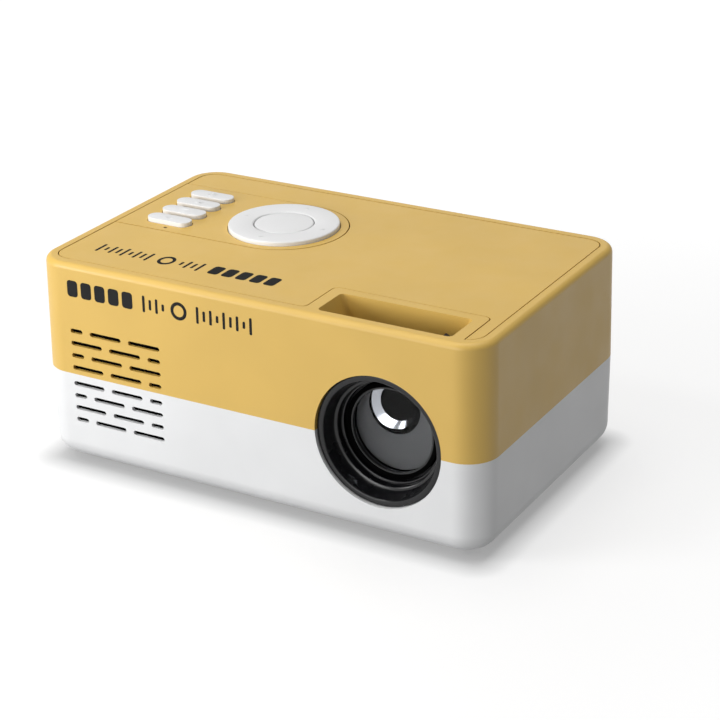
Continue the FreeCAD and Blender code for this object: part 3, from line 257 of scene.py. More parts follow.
def gloss_black():
    """Polished black plastic with a clear skin and very faint haze."""
    material = new_finish("gloss_black", (0.004, 0.004, 0.005), 0.28)
    vary_roughness(material, 0.24, 0.33, 60)
    grain(material, 300, 0.004 * MM, 0.1)
    shader = material.node_tree.nodes["Principled BSDF"]
    shader.inputs["Specular IOR Level"].default_value = 0.35
    shader.inputs["Coat Weight"].default_value = 0.15
    shader.inputs["Coat Roughness"].default_value = 0.12
    return material


def matt_black(name, level, specular=0.15):
    """Black that hardly shines, for inside a lens and for ink."""
    material = moulded(name, (level, level, level), 0.8, grain_height=0.004)
    material.node_tree.nodes["Principled BSDF"].inputs["Specular IOR Level"].default_value = specular
    return material


bezel_gloss = gloss_black()
print_ink = matt_black("print_ink", 0.016)
flock_black = matt_black("flock_black", 0.002, specular=0.0)
baffle_grey = matt_black("baffle_grey", 0.1)
print("plastics done")

# %% [markdown]
# Metals get streaks instead of grain. Drawn and rolled metal is streaked along one direction, and a turned
# part round its axis, which a stretch of the noise along the lens axis comes close to.


# %% Metals, boards and glass
def metal(name, colour, roughness, stretch=(1, 1, 1), scale=400):
    """Bare metal with streaks along the directions that stretch leaves long."""
    material = new_finish(name, colour, roughness, metallic=1.0)
    mottle(material, colour, 0.05, 90)
    vary_roughness(material, roughness - 0.07, roughness + 0.07, scale, stretch)
    grain(material, scale * 3, 0.006 * MM, 0.5, stretch)
    return material


bright_metal = metal("bright_metal", (0.86, 0.87, 0.88), 0.24, (1, 0.15, 1))
bare_metal = metal("bare_metal", (0.6, 0.61, 0.62), 0.38, (0.12, 1, 1))
tin_plate = metal("tin_plate", (0.62, 0.62, 0.61), 0.3, (1, 0.15, 1))
screw_metal = metal("screw_metal", (0.5, 0.5, 0.52), 0.3)
brass = metal("brass", (0.65, 0.43, 0.16), 0.3, (1, 1, 0.2))


def board_green():
    """Solder mask over copper: patches of slightly different green under a glossy skin."""
    material = new_finish("board_green", (0.012, 0.09, 0.035), 0.35)
    tree = material.node_tree
    cells = tree.nodes.new("ShaderNodeTexVoronoi")
    cells.distance = "MANHATTAN"
    cells.inputs["Scale"].default_value = 260
    places = tree.nodes.new("ShaderNodeTexCoord")
    ramp = tree.nodes.new("ShaderNodeValToRGB")
    ramp.color_ramp.elements[0].color = (0.01, 0.07, 0.028, 1)
    ramp.color_ramp.elements[1].color = (0.03, 0.15, 0.06, 1)
    tree.links.new(places.outputs["Object"], cells.inputs["Vector"])
    tree.links.new(cells.outputs["Distance"], ramp.inputs["Fac"])
    tree.links.new(ramp.outputs["Color"], tree.nodes["Principled BSDF"].inputs["Base Color"])
    vary_roughness(material, 0.28, 0.42, 300)
    grain(material, 1500, 0.01 * MM, 0.5)
    return material


def clear_glass(name, colour, roughness, weight=1.0, index=1.5):
    """Glass or clear acrylic, with the faintest polish marks."""
    material = new_finish(name, colour, roughness)
    shader = material.node_tree.nodes["Principled BSDF"]
    shader.inputs["Transmission Weight"].default_value = weight
    shader.inputs["IOR"].default_value = index
    vary_roughness(material, max(roughness - 0.01, 0), roughness + 0.012, 250)
    grain(material, 500, 0.001 * MM, 0.05)
    return material


board = board_green()
lens_glass = clear_glass("lens_glass", (0.97, 0.98, 1.0), 0.012, index=1.15)
cone_metal = metal("cone_metal", (0.42, 0.43, 0.45), 0.17, (1, 0.1, 1), 350)
clear_acrylic = clear_glass("clear_acrylic", (0.95, 0.96, 0.97), 0.08, 1.0, 1.49)
lcd_glass = clear_glass("lcd_glass", (0.16, 0.17, 0.22), 0.06, 0.6)
mirror_silver = metal("mirror_silver", (0.9, 0.91, 0.92), 0.09)
led_phosphor = moulded("led_phosphor", (0.78, 0.6, 0.08), 0.4)
capacitor_sleeve = moulded("capacitor_sleeve", (0.02, 0.03, 0.06), 0.28)
FINISH_OF_SLOT = {
    "yellow_case": yellow_plastic, "white_case": white_plastic, "white_key": key_plastic,
    "black_gloss": bezel_gloss, "black_plastic": black_plastic, "chip_black": black_resin,
    "speaker_black": black_resin, "optical_glass": lens_glass, "clear_sheet": clear_acrylic,
    "lcd_glass": lcd_glass, "bright_aluminium": bright_metal, "bare_aluminium": bare_metal,
    "mirror_glass": mirror_silver, "led_yellow": led_phosphor, "circuit_board": board,
    "capacitor_sleeve": capacitor_sleeve, "tinned_steel": tin_plate, "foot_rubber": foot_rubber,
    "brass_thread": brass, "screw_steel": screw_metal, "plug_white": cream_nylon,
    "ribbon_white": ribbon_white, "ribbon_amber": ribbon_amber, "wire_sheath": wire_sheath,
}
slot_of = {part["node"]: part["material_slot"] for part in frame["record"]["subparts"]}
for node, piece in cad.items():
    piece.data.materials.clear()
    piece.data.materials.append(FINISH_OF_SLOT[slot_of[node]])
for node in ("aperture_stop", "lens_barrel", "lens_mount"):
    cad[node].data.materials[0] = flock_black
print("finishes:", len(set(FINISH_OF_SLOT.values())))

# %% [markdown]
# ## Tools for making pieces
# Most of this object is made of slabs with rounded corners and of turned rings. A slab starts as a cube that
# is scaled, then the four edges along one axis are bevelled. A ring starts as an outline that is spun. The
# last helper turns a finished bmesh into an object that rides with its CAD body and stands for its node.


# %% Helpers for shapes
def edges_along(edges, axis):
    """The edges that run along one axis, which is 0, 1 or 2."""
    chosen = []
    for edge in edges:
        run = edge.verts[1].co - edge.verts[0].co
        if run.length > 1e-9 and abs(run[axis]) > 0.999 * run.length:
            chosen.append(edge)
    return chosen


def bevel(bm, edges, offset, segments):
    """Rounds edges with a quarter-circle profile."""
    return bmesh.ops.bevel(bm, geom=edges, offset=offset, segments=segments, profile=0.5,
                           affect="EDGES", material=-1, clamp_overlap=True)


def slab(bm, low, high, axis, radius, segments=6):
    """Adds a block between two corners, with the four edges along one axis rounded."""
    before = set(bm.faces)
    low, high = Vector(low), Vector(high)
    corners = bmesh.ops.create_cube(bm, size=1.0)["verts"]
    bmesh.ops.scale(bm, verts=corners, vec=high - low)
    bmesh.ops.translate(bm, verts=corners, vec=(low + high) / 2)
    edges = edges_along({edge for corner in corners for edge in corner.link_edges}, axis)
    if radius > 0:
        bevel(bm, edges, radius * 0.998, segments)
    return [face for face in bm.faces if face not in before]


def level_edges(bm, height):
    """The edges round flat faces at one height: those that lie in the plane and turn a corner."""
    found = []
    for edge in bm.edges:
        flat = all(abs(vertex.co.z - height) < 1e-6 for vertex in edge.verts)
        if flat and len(edge.link_faces) == 2 and edge.calc_face_angle(0) > 0.3:
            found.append(edge)
    return found


def turned(bm, outline, centre, axis, steps=128):
    """Spins a closed outline of (radius, distance along the axis) points, in millimetres."""
    along = Vector(axis)
    across = Vector((1, 0, 0))
    corners = [bm.verts.new(Vector(centre) + across * radius * MM + along * run * MM)
               for radius, run in outline]
    edges = [bm.edges.new((first, second)) for first, second in zip(corners, corners[1:] + corners[:1])]
    bmesh.ops.spin(bm, geom=corners + edges, cent=centre, axis=along, dvec=(0, 0, 0),
                   angle=math.tau, steps=steps, use_merge=True)
    bmesh.ops.remove_doubles(bm, verts=bm.verts, dist=1e-7)
    bmesh.ops.recalc_face_normals(bm, faces=bm.faces)


def piece_from(bm, name, finish, smooth=32):
    """Makes an object of a bmesh, smooth except across sharp edges."""
    mesh = bpy.data.meshes.new(name)
    bm.to_mesh(mesh)
    bm.free()
    mesh.materials.append(finish)
    mesh.shade_smooth()
    mesh.set_sharp_from_angle(angle=math.radians(smooth))
    piece = bpy.data.objects.new(name, mesh)
    bpy.context.scene.collection.objects.link(piece)
    return piece


def add_to(bm, part, name):
    """Adds a finished bmesh to another one."""
    holder = bpy.data.meshes.new(name)
    part.to_mesh(holder)
    part.free()
    bm.from_mesh(holder)


def stands_for(piece, body, slot, *nodes):
    """Lets a piece move with a body and hide the CAD nodes that it stands for. The slot is not used."""
    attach(piece, body)
    if nodes:
        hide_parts(*nodes)
    print(piece.name, "faces:", len(piece.data.polygons))
    return piece


def settle(piece):
    """Turns a piece's modifiers into plain mesh."""
    seen = piece.evaluated_get(bpy.context.evaluated_depsgraph_get())
    mesh = bpy.data.meshes.new_from_object(seen)
    piece.modifiers.clear()
    piece.data = mesh
    return piece


def combine(piece, tool_bm, operation):
    """Joins a tool shape to a piece or cuts it away."""
    tool = piece_from(tool_bm, piece.name + "_tool", yellow_plastic)
    step = piece.modifiers.new(operation.lower(), "BOOLEAN")
    step.operation = operation
    step.solver = "EXACT"
    step.object = tool
    settle(piece)
    bpy.data.objects.remove(tool)
    return piece


# %% [markdown]
# ## The two halves of the case
# Each half is an open box with rounded corners, walls 2 mm thick and a degree or less of draft, so that it
# leaves its mould. The outside is a cube whose upright edges are bevelled to the corner radius, and whose
# closed end gets its own softer edge. A smaller block made the same way is cut out of it. Inset and extrude
# could also make the wall, but a cut keeps the inner corner radius free.


# %% Make an open half of the case
def case_block(mouth, far, inset, corner, edge_radius, edge_steps, draft):
    """A block with rounded upright edges that narrows from the split towards its far end."""
    bm = bmesh.new()
    half = Vector((WIDTH / 2 - inset, DEPTH / 2 - inset, 0))
    slab(bm, (-half.x, -half.y, min(mouth, far)), (half.x, half.y, max(mouth, far)), 2, corner, 12)
    bevel(bm, level_edges(bm, far), edge_radius, edge_steps)
    slope = math.tan(math.radians(draft)) * math.copysign(1, far - SPLIT)
    for vertex in bm.verts:
        shrink = slope * (vertex.co.z - SPLIT)
        vertex.co.x -= math.copysign(shrink, vertex.co.x)
        vertex.co.y -= math.copysign(shrink, vertex.co.y)
    return bm


def half_shell(name, far, edge_radius, edge_steps, draft, finish):
    """A half that is open at the split and closed at the far height."""
    inwards = math.copysign(1, SPLIT - far)
    outer = case_block(SPLIT, far, 0, CORNER, edge_radius, edge_steps, draft)
    inner = case_block(SPLIT + inwards * MM, far + inwards * WALL, WALL, CORNER - WALL,
                       max(edge_radius - WALL, 0.4 * MM), 3, draft)
    return combine(piece_from(outer, name, finish), inner, "DIFFERENCE")


CORNER = 9.0 * MM
upper = half_shell("upper_case", TOP, 1.8 * MM, 5, 0.7, yellow_plastic)
lower = half_shell("lower_case", BASE, 6.0 * MM, 10, 0.4, white_plastic)
print("halves:", len(upper.data.polygons), len(lower.data.polygons))

# %% [markdown]
# The air slots sit in rows like bricks. Rows four and five mirror each other across the split. Each slot is
# a slab with fully round ends that passes through the wall, and the pattern is a loop over rows and lengths.

# %% Cut the air slots, lens hole, recess and key holes
SLOT = 1.35 * MM
LONG, SHORT, GAP = 10.4 * MM, 4.1 * MM, 2.5 * MM
ROW_PITCH = 3.7 * MM
ROWS_LEFT = -58.2 * MM
SHORT_FIRST = (SHORT, LONG, LONG)
LONG_FIRST = (LONG, LONG, SHORT)
THROUGH = 4 * MM
LENS_HOLE = 18.75 * MM


def air_slots(bm, rows, first_height, wall_y):
    """Adds a slot cutter for every hole of some rows, running down from the first height."""
    for row, lengths in enumerate(rows):
        height = first_height - row * ROW_PITCH
        left = ROWS_LEFT
        for length in lengths:
            slab(bm, (left, wall_y - THROUGH, height - SLOT / 2),
                 (left + length, wall_y + THROUGH, height + SLOT / 2), 1, SLOT / 2, 5)
            left += length + GAP


def lens_bar(bm, radius, start, end):
    """Adds a bar on the lens axis."""
    turn_back = Matrix.Rotation(math.radians(90), 3, "X")
    made = bmesh.ops.create_cone(bm, cap_ends=True, segments=128, radius1=radius, radius2=radius,
                                 depth=end - start)["verts"]
    bmesh.ops.rotate(bm, verts=made, cent=(0, 0, 0), matrix=turn_back)
    bmesh.ops.translate(bm, verts=made, vec=(LENS.x, (start + end) / 2, LENS.z))


def recess_block(bm, grow, depth):
    """Adds the finger recess: a rounded slab whose lower end is drawn in lengthways."""
    low = Vector((LENS.x - 20.15 * MM - grow, -39.8 * MM - grow, TOP - depth))
    high = Vector((LENS.x + 20.15 * MM + grow, -27.0 * MM + grow, TOP + (0 if grow else 2 * MM)))
    faces = slab(bm, low, high, 2, 1.4 * MM + grow, 5)
    for vertex in {vertex for face in faces for vertex in face.verts}:
        if vertex.co.z < TOP - depth / 2:
            vertex.co.x -= math.copysign(depth * 0.36, vertex.co.x - LENS.x)
            vertex.co.y -= math.copysign(0.3 * MM, vertex.co.y + 33.4 * MM)


def thin_wall(piece, *strips):
    """Thins a wall from inside, behind the slots: each strip is (near y, far y, low z, high z)."""
    bm = bmesh.new()
    for near, far, low_z, high_z in strips:
        slab(bm, (THIN_LEFT, near, low_z), (THIN_RIGHT, far, high_z), 1, 0)
    combine(piece, bm, "DIFFERENCE")


THIN_LEFT, THIN_RIGHT = -59.5 * MM, -28 * MM
THIN_WALL = 1.1 * MM
walls = bmesh.new()
recess_block(walls, 1.3 * MM, 10 * MM)
combine(upper, walls, "UNION")

PANEL_HALF = Vector((66.2 * MM, 39.7 * MM, 0))
PANEL_CORNER = 5 * MM
INLAY = 1.0 * MM
NOTCH = 23.0 * MM
NOTCH_BACK = -24.0 * MM
NOTCH_CORNER = 1.8 * MM
pocket = bmesh.new()
slab(pocket, (-PANEL_HALF.x, -PANEL_HALF.y, TOP - INLAY), (PANEL_HALF.x, PANEL_HALF.y, TOP + INLAY),
     2, PANEL_CORNER, 8)
pocket_tool = piece_from(pocket, "pocket_tool", yellow_plastic)
notch = bmesh.new()
slab(notch, (LENS.x - NOTCH, -PANEL_HALF.y - 9 * MM, TOP - 2 * MM),
     (LENS.x + NOTCH, NOTCH_BACK, TOP + 3 * MM), 2, NOTCH_CORNER)
combine(pocket_tool, notch, "DIFFERENCE")
pocket_bm = bmesh.new()
pocket_bm.from_mesh(pocket_tool.data)


def round_tongues(bm, half_notch, front_y):
    """Rounds the two tongues that the plate leaves beside the notch."""
    corners = [edge for edge in edges_along(bm.edges, 2)
               if abs(edge.verts[0].co.y - front_y) < 1e-5
               and abs(abs(edge.verts[0].co.x - LENS.x) - half_notch) < 1e-5]
    bevel(bm, corners, 1.6 * MM, 5)
    print("tongue corners:", len(corners))


round_tongues(pocket_bm, NOTCH, -PANEL_HALF.y)
bpy.data.objects.remove(pocket_tool)
combine(upper, pocket_bm, "DIFFERENCE")

thin_wall(upper, (FRONT + THIN_WALL, FRONT + THROUGH, SPLIT - MM, SPLIT + 15 * MM),
          (BACK - THROUGH, BACK - THIN_WALL, SPLIT + 3.5 * MM, SPLIT + 19 * MM))
cuts = bmesh.new()
air_slots(cuts, (SHORT_FIRST, LONG_FIRST, SHORT_FIRST, LONG_FIRST), SPLIT + 13.1 * MM, FRONT)
air_slots(cuts, (SHORT_FIRST, LONG_FIRST, SHORT_FIRST, LONG_FIRST), SPLIT + 16.8 * MM, BACK)
lens_bar(cuts, LENS_HOLE, FRONT - MM, FRONT + THROUGH)
recess_block(cuts, 0, 11.5 * MM)
KEYS = ("back_key", "menu_key", "input_key", "power_key")
KEY_HALF = Vector((7.1 * MM, 2.5 * MM, 0))
KEY_GAP = 0.25 * MM
RING_HOLE = 16.25 * MM


def upright_hole(bm, x, y, reach_x, reach_y, segments):
    """Adds a cutter down through the top, with round ends."""
    slab(bm, (x - reach_x, y - reach_y, TOP - THROUGH), (x + reach_x, y + reach_y, TOP + MM),
         2, reach_y, segments)


def button_holes(bm):
    """Adds a cutter for each key and for the ring, with a thin gap all round."""
    for key in KEYS:
        spot = middle_of(key)
        upright_hole(bm, spot.x, spot.y, KEY_HALF.x + KEY_GAP, KEY_HALF.y + KEY_GAP, 8)
    upright_hole(bm, RING.x, RING.y, RING_HOLE, RING_HOLE, 24)


button_holes(cuts)
combine(upper, cuts, "DIFFERENCE")
print("upper half:", len(upper.data.polygons), "faces")

# %% [markdown]
# The lower half takes the other four rows, its share of the lens hole, the windows of the sockets at the
# back, the speaker slots in the left end and, underneath, the seats of feet, screws and tripod thread.

# %% Cut the lower half
thin_wall(lower, (FRONT + THIN_WALL, FRONT + THROUGH, SPLIT - 16 * MM, SPLIT + MM))
cuts = bmesh.new()
air_slots(cuts, (LONG_FIRST, SHORT_FIRST, LONG_FIRST, SHORT_FIRST), SPLIT - 2.9 * MM, FRONT)
lens_bar(cuts, LENS_HOLE, FRONT - MM, FRONT + THROUGH)


def window(node, grow, corner):
    """A hole through the back wall, a little larger than the socket behind it."""
    low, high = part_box(node)
    slab(cuts, (low[0] - grow, BACK - THROUGH, max(low[2], BASE + 5.2 * MM) - grow),
         (high[0] + grow, BACK + MM, high[2] + grow), 1, corner, 4)


window("hdmi_socket", 0.3 * MM, 0.6 * MM)
window("usb_socket", 0.3 * MM, 0.6 * MM)
window("card_socket", 0.4 * MM, 0.6 * MM)


def round_hole(x, z, radius):
    """A round hole through the back wall."""
    slab(cuts, (x - radius, BACK - THROUGH, z - radius), (x + radius, BACK + MM, z + radius), 1, radius, 12)


round_hole(27 * MM, 10.4 * MM, 3.3 * MM)
round_hole(38 * MM, 12.6 * MM, 4.2 * MM)
round_hole(-5.6 * MM, 18 * MM, 2.2 * MM)
for row in range(6):
    low_z = (11 + 2.6 * row) * MM
    slab(cuts, (-WIDTH / 2 - MM, 2 * MM, low_z),
         (-WIDTH / 2 + THROUGH, 22 * MM, low_z + 1.1 * MM), 0, 0.55 * MM, 5)


def well(x, y, radius, depth):
    """A round well that opens underneath."""
    slab(cuts, (x - radius, y - radius, BASE - MM), (x + radius, y + radius, BASE + depth), 2, radius, 12)


SCREWS = ((-62.3, -24.5), (62.3, -36.2), (-62.3, 35.8), (62.3, 35.8))
for x, y in SCREWS:
    well(x * MM, y * MM, 2.4 * MM, 7.2 * MM)
FEET = [(side * 57.5 * MM, -31 * MM) for side in (-1, 1)]
FEET += [(side * 54.5 * MM, 33.5 * MM) for side in (-1, 1)]
for x, y in FEET:
    well(x, y, 3.6 * MM, 0.8 * MM)
well(0, -30 * MM, 4.6 * MM, 7.5 * MM)
slab(cuts, (6.3 * MM, FRONT - MM, BASE - MM), (11 * MM, FRONT + THROUGH, BASE + 1.3 * MM), 1, 0.3 * MM, 2)
combine(lower, cuts, "DIFFERENCE")
print("lower half:", len(lower.data.polygons), "faces")

# %% [markdown]
# A moulded edge is never quite sharp. A narrow Bevel modifier limited by angle breaks every cut edge, and a
# Weighted Normal modifier keeps the large flat faces flat in the light.


# %% Break the edges of the case
def break_edges(piece, width, segments=2, angle=40):
    """A narrow bevel on sharp edges and normals that favour the large faces."""
    edge_break = piece.modifiers.new("edge_break", "BEVEL")
    edge_break.width = width
    edge_break.segments = segments
    edge_break.limit_method = "ANGLE"
    edge_break.angle_limit = math.radians(angle)
    settle(piece)
    piece.data.shade_smooth()
    piece.data.set_sharp_from_angle(angle=math.radians(40))
    weights = piece.modifiers.new("even_normals", "WEIGHTED_NORMAL")
    weights.keep_sharp = True


break_edges(upper, 0.12 * MM)
break_edges(lower, 0.12 * MM)
stands_for(upper, "case", "yellow_case", "upper_shell")
stands_for(lower, "case", "white_case", "lower_shell")

# %% [markdown]
# Behind the slots the wall is thinned to about a millimetre, and a matt black sheet stands behind it.
# It is painted shade: the slots look dark, with only a thin lit lip below.

# %% Make the painted shade behind the slots
# Each black sheet is painted shade, standing where the inside of the case is only dark.
for name, low_y, low_z, high_z in (("front_slot_shade", FRONT + 1.35 * MM, SPLIT - 15.9 * MM, SPLIT + 14.9 * MM),
                                   ("rear_slot_shade", BACK - 1.85 * MM, SPLIT + 3.6 * MM, SPLIT + 18.9 * MM)):
    bm = bmesh.new()
    slab(bm, (-59.4 * MM, low_y, low_z), (-28.1 * MM, low_y + 0.4 * MM, high_z), 1, 0.5 * MM, 3)
    stands_for(piece_from(bm, name, flock_black), "case", "black_plastic")

# %% [markdown]
# ## The inlaid plates
# The top carries two flush plates with a hair-fine joint round them: the main plate, notched round the
# finger recess, and the key plate, a band that ends in a half circle round the direction ring. Both start as
# slabs, and the main plate has the band's shape cut out of it. Under both lies a matt black sheet, painted
# shade that shows in the joint as a dark line.

# %% Make the plates
JOINT = 0.3 * MM
PLATE = 0.75 * MM
PAD_RADIUS = 18.5 * MM


def band(bm, grow, low_z, high_z, left):
    """The key plate's outline: a band with one half-round end."""
    reach = PAD_RADIUS + grow
    slab(bm, (left, RING.y - PAD_RADIUS - grow, low_z),
         (RING.x + PAD_RADIUS + grow, RING.y + PAD_RADIUS + grow, high_z), 2, reach, 40)


plate = bmesh.new()
slab(plate, (-PANEL_HALF.x + JOINT, -PANEL_HALF.y + JOINT, TOP - PLATE),
     (PANEL_HALF.x - JOINT, PANEL_HALF.y - JOINT, TOP), 2, PANEL_CORNER - JOINT, 8)
main_plate = piece_from(plate, "main_plate", yellow_plastic)
openings = bmesh.new()
slab(openings, (LENS.x - NOTCH - JOINT, -PANEL_HALF.y - 9 * MM, TOP - 2 * MM),
     (LENS.x + NOTCH + JOINT, NOTCH_BACK + JOINT, TOP + MM), 2, NOTCH_CORNER + JOINT)
combine(main_plate, openings, "DIFFERENCE")
notched = bmesh.new()
notched.from_mesh(main_plate.data)
round_tongues(notched, NOTCH + JOINT, -PANEL_HALF.y + JOINT)
notched.to_mesh(main_plate.data)
notched.free()
opening = bmesh.new()
band(opening, JOINT, TOP - 2 * MM, TOP + MM, -PANEL_HALF.x - 40 * MM)
combine(main_plate, opening, "DIFFERENCE")

CLEAR = 0.01 * MM
# The black sheet under the plates is painted shade that darkens the joint line.
joint_shade = bmesh.new()
slab(joint_shade, (-PANEL_HALF.x + CLEAR, -PANEL_HALF.y + CLEAR, TOP - INLAY + 0.02 * MM),
     (PANEL_HALF.x - CLEAR, PANEL_HALF.y - CLEAR, TOP - PLATE - 0.02 * MM), 2, PANEL_CORNER, 8)
joint_shade_sheet = piece_from(joint_shade, "plate_joint_shade", flock_black)
joint_shade_cuts = bmesh.new()
slab(joint_shade_cuts, (LENS.x - NOTCH - CLEAR, -PANEL_HALF.y - 9 * MM, TOP - 2 * MM),
     (LENS.x + NOTCH + CLEAR, NOTCH_BACK + CLEAR, TOP + MM), 2, NOTCH_CORNER)
slab(joint_shade_cuts, (-60 * MM, RING.y - 17 * MM, TOP - 3 * MM),
     (RING.x + 17.5 * MM, RING.y + 17.5 * MM, TOP + MM), 2, 17.4 * MM, 24)
combine(joint_shade_sheet, joint_shade_cuts, "DIFFERENCE")
stands_for(joint_shade_sheet, "case", "black_plastic")

key_band = bmesh.new()
band(key_band, 0, TOP - PLATE, TOP, -PANEL_HALF.x - 40 * MM)
key_plate = piece_from(key_band, "key_plate", yellow_plastic)
trims = bmesh.new()
slab(trims, (-PANEL_HALF.x - 90 * MM, -50 * MM, TOP - 3 * MM),
     (-PANEL_HALF.x + JOINT, 60 * MM, TOP + 2 * MM), 2, 0)
button_holes(trims)
LIGHT_HOLE = 0.62 * MM
light = middle_of("status_light_pipe")
upright_hole(trims, light.x, light.y, LIGHT_HOLE, LIGHT_HOLE, 6)
combine(key_plate, trims, "DIFFERENCE")
break_edges(main_plate, 0.14 * MM)
break_edges(key_plate, 0.14 * MM)
stands_for(main_plate, "case", "yellow_case", "top_panel")
stands_for(key_plate, "case", "yellow_case", "keypad_plate")

# %% [markdown]
# ## Keys, ring and centre button
# The four keys are long capsules with a soft shoulder. The ring and its centre button are turned, with
# rounded shoulders, and a crescent-thin gap between them. Each has faint raised marks that say what it does
# without any lettering: small arrowheads on the ring and simple signs on the keys.


# %% Make the keys
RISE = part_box("power_key")[1][2]


def mark(bm, low, high, turn_angle, centre):
    """A tiny raised bar on a key, turned about the key's centre."""
    faces = slab(bm, (centre.x + low[0] * MM, centre.y + low[1] * MM, RISE - 0.1 * MM),
                 (centre.x + high[0] * MM, centre.y + high[1] * MM, RISE + 0.07 * MM), 2, 0.1 * MM, 2)
    corners = {vertex for face in faces for vertex in face.verts}
    bmesh.ops.rotate(bm, verts=list(corners), cent=centre,
                     matrix=Matrix.Rotation(math.radians(turn_angle), 3, "Z"))


SIGNS = {
    "power_key": [((-0.15, 0.1), (0.15, 1.3), 0), ((-0.9, -1.2), (0.9, -0.9), 0),
                  ((-0.9, -1.2), (0.9, -0.9), 90), ((-0.9, -1.2), (0.9, -0.9), -90)],
    "input_key": [((-1.2, -0.15), (0.6, 0.15), 0), ((0.3, -0.9), (0.6, 0.9), 0),
                  ((0.9, -1.1), (1.2, 1.1), 0)],
    "menu_key": [((-1.2, 0.7), (1.2, 1.0), 0), ((-1.2, -0.15), (1.2, 0.15), 0),
                 ((-1.2, -1.0), (1.2, -0.7), 0)],
    "back_key": [((-1.1, -0.15), (1.2, 0.15), 0), ((-0.5, 0.5), (0.9, 0.8), 135),
                 ((-0.9, 0.5), (0.5, 0.8), 45)],
}
for key in KEYS:
    spot = middle_of(key)
    floor_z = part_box(key)[0][2]
    bm = bmesh.new()
    slab(bm, (spot.x - KEY_HALF.x, spot.y - KEY_HALF.y, floor_z),
         (spot.x + KEY_HALF.x, spot.y + KEY_HALF.y, RISE), 2, KEY_HALF.y, 10)
    bevel(bm, level_edges(bm, RISE), 0.85 * MM, 5)
    cap = piece_from(bm, key + "_cap", key_plastic)
    signs = bmesh.new()
    for low, high, angle in SIGNS[key]:
        mark(signs, low, high, angle, Vector((spot.x, spot.y, RISE)))
    sign_piece = piece_from(signs, key + "_sign", key_plastic)
    stands_for(cap, key, "white_key", key)
    stands_for(sign_piece, key, "white_key")


# %% Make the ring and the centre button
def rounded_rise(inner, outer, foot, crest, shoulder, steps=5):
    """An outline that rises from a foot to a crest with a round shoulder at each side."""
    outline = [(inner, foot), (outer, foot)]
    for side, start in ((outer - shoulder, 0), (inner + shoulder, 90)):
        for step in range(steps + 1):
            angle = math.radians(start + 90 * step / steps)
            outline.append((side + shoulder * math.cos(angle),
                            crest - shoulder + shoulder * math.sin(angle)))
    return outline


CREST = (RISE - TOP) / MM
bm = bmesh.new()
turned(bm, rounded_rise(8.75, 16.0, -2.7, CREST, 0.45), (RING.x, RING.y, TOP), (0, 0, 1))
ring_cap = piece_from(bm, "ring_cap", key_plastic)
stands_for(ring_cap, "nav_ring", "white_key", "nav_ring")
bm = bmesh.new()
button_crest = CREST - 0.05
button_outline = [(0, -3.4), (8.5, -3.4), *rounded_rise(0.5, 8.5, -3.4, button_crest, 0.45)[2:8],
                  (0, button_crest)]
turned(bm, button_outline, (RING.x, RING.y, TOP), (0, 0, 1))
button_cap = piece_from(bm, "button_cap", key_plastic)
stands_for(button_cap, "enter_button", "white_key", "enter_button")
bm = bmesh.new()
for quarter in range(4):
    for side in (-1, 1):
        faces = slab(bm, (RING.x - 0.75 * MM, RING.y + 12.2 * MM, RISE - 0.1 * MM),
                     (RING.x + 0.75 * MM, RING.y + 12.5 * MM, RISE + 0.07 * MM), 2, 0.1 * MM, 2)
        corners = list({vertex for face in faces for vertex in face.verts})
        bmesh.ops.rotate(bm, verts=corners, cent=(RING.x - side * 0.6 * MM, RING.y + 12.35 * MM, 0),
                         matrix=Matrix.Rotation(side * math.radians(40), 3, "Z"))
        bmesh.ops.rotate(bm, verts=corners, cent=(RING.x, RING.y, 0),
                         matrix=Matrix.Rotation(math.radians(90 * quarter), 3, "Z"))
arrows = piece_from(bm, "ring_arrows", key_plastic)
stands_for(arrows, "nav_ring", "white_key")

# %% [markdown]
# ## The lens
# The surround is a black funnel set a little back in its hole. Its outline steps inwards like the real one:
# a rounded lip, a cone, a bead and a second step. It is drawn from the lip to the back and spun round the
# lens axis. Behind it stand the barrel's front ring, the front glass and the bright cone of the stop.

# %% Turn the lens surround and the glass
LENS_AXIS = (0, 1, 0)
bezel_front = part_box("lens_bezel")[0][1]
bm = bmesh.new()
turned(bm, [
    (18.55, 1.15), (18.55, 0.30), (18.42, 0.10), (18.2, 0.0), (17.3, 0.0), (17.0, 0.10), (16.82, 0.32),
    (16.3, 2.6), (15.95, 3.9), (15.7, 4.25), (15.2, 4.35), (14.98, 4.5), (14.9, 4.8), (14.78, 6.3),
    (14.6, 6.55), (14.3, 6.62), (14.2, 6.8), (14.2, 8.7), (16.6, 8.7), (17.4, 2.6), (20.2, 2.5), (20.2, 1.2),
], (LENS.x, bezel_front, LENS.z), LENS_AXIS, 160)
surround = piece_from(bm, "lens_surround", bezel_gloss, 25)
stands_for(surround, "case", "black_gloss", "lens_bezel")

glass_low, glass_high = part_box("front_lens")
GLASS_RADIUS = (glass_high[0] - glass_low[0]) / 2 / MM
GLASS_THICK = (glass_high[1] - glass_low[1]) / MM


def bulge(radius, rise, start, sign, steps=10):
    """Points of a shallow spherical face, from its rim to the axis."""
    curve = (radius ** 2 + rise ** 2) / (2 * rise)
    points = []
    for step in range(steps + 1):
        reach = radius * (1 - step / steps)
        height = math.sqrt(curve ** 2 - reach ** 2) - (curve - rise)
        points.append((reach, start - sign * height))
    return points


bm = bmesh.new()
front_face = bulge(GLASS_RADIUS, 1.4, 1.4, 1)
back_face = bulge(GLASS_RADIUS, 0.4, GLASS_THICK - 0.4, -1)
turned(bm, front_face + back_face[::-1], (LENS.x, glass_low[1], LENS.z), LENS_AXIS, 128)
glass = piece_from(bm, "front_glass", lens_glass, 40)
stands_for(glass, "lens_barrel", "optical_glass", "front_lens")

# %% [markdown]
# The pupil behind the glass sits high and to the left, as in a projector that throws its picture upwards. A
# grey baffle leads from the rim of the glass to it, then a matt black step, then a bright cone. Each is a
# sleeve between two circles that don't share an axis, so it can't be spun. The circles are bridged instead,
# and the sleeve is given a thickness.

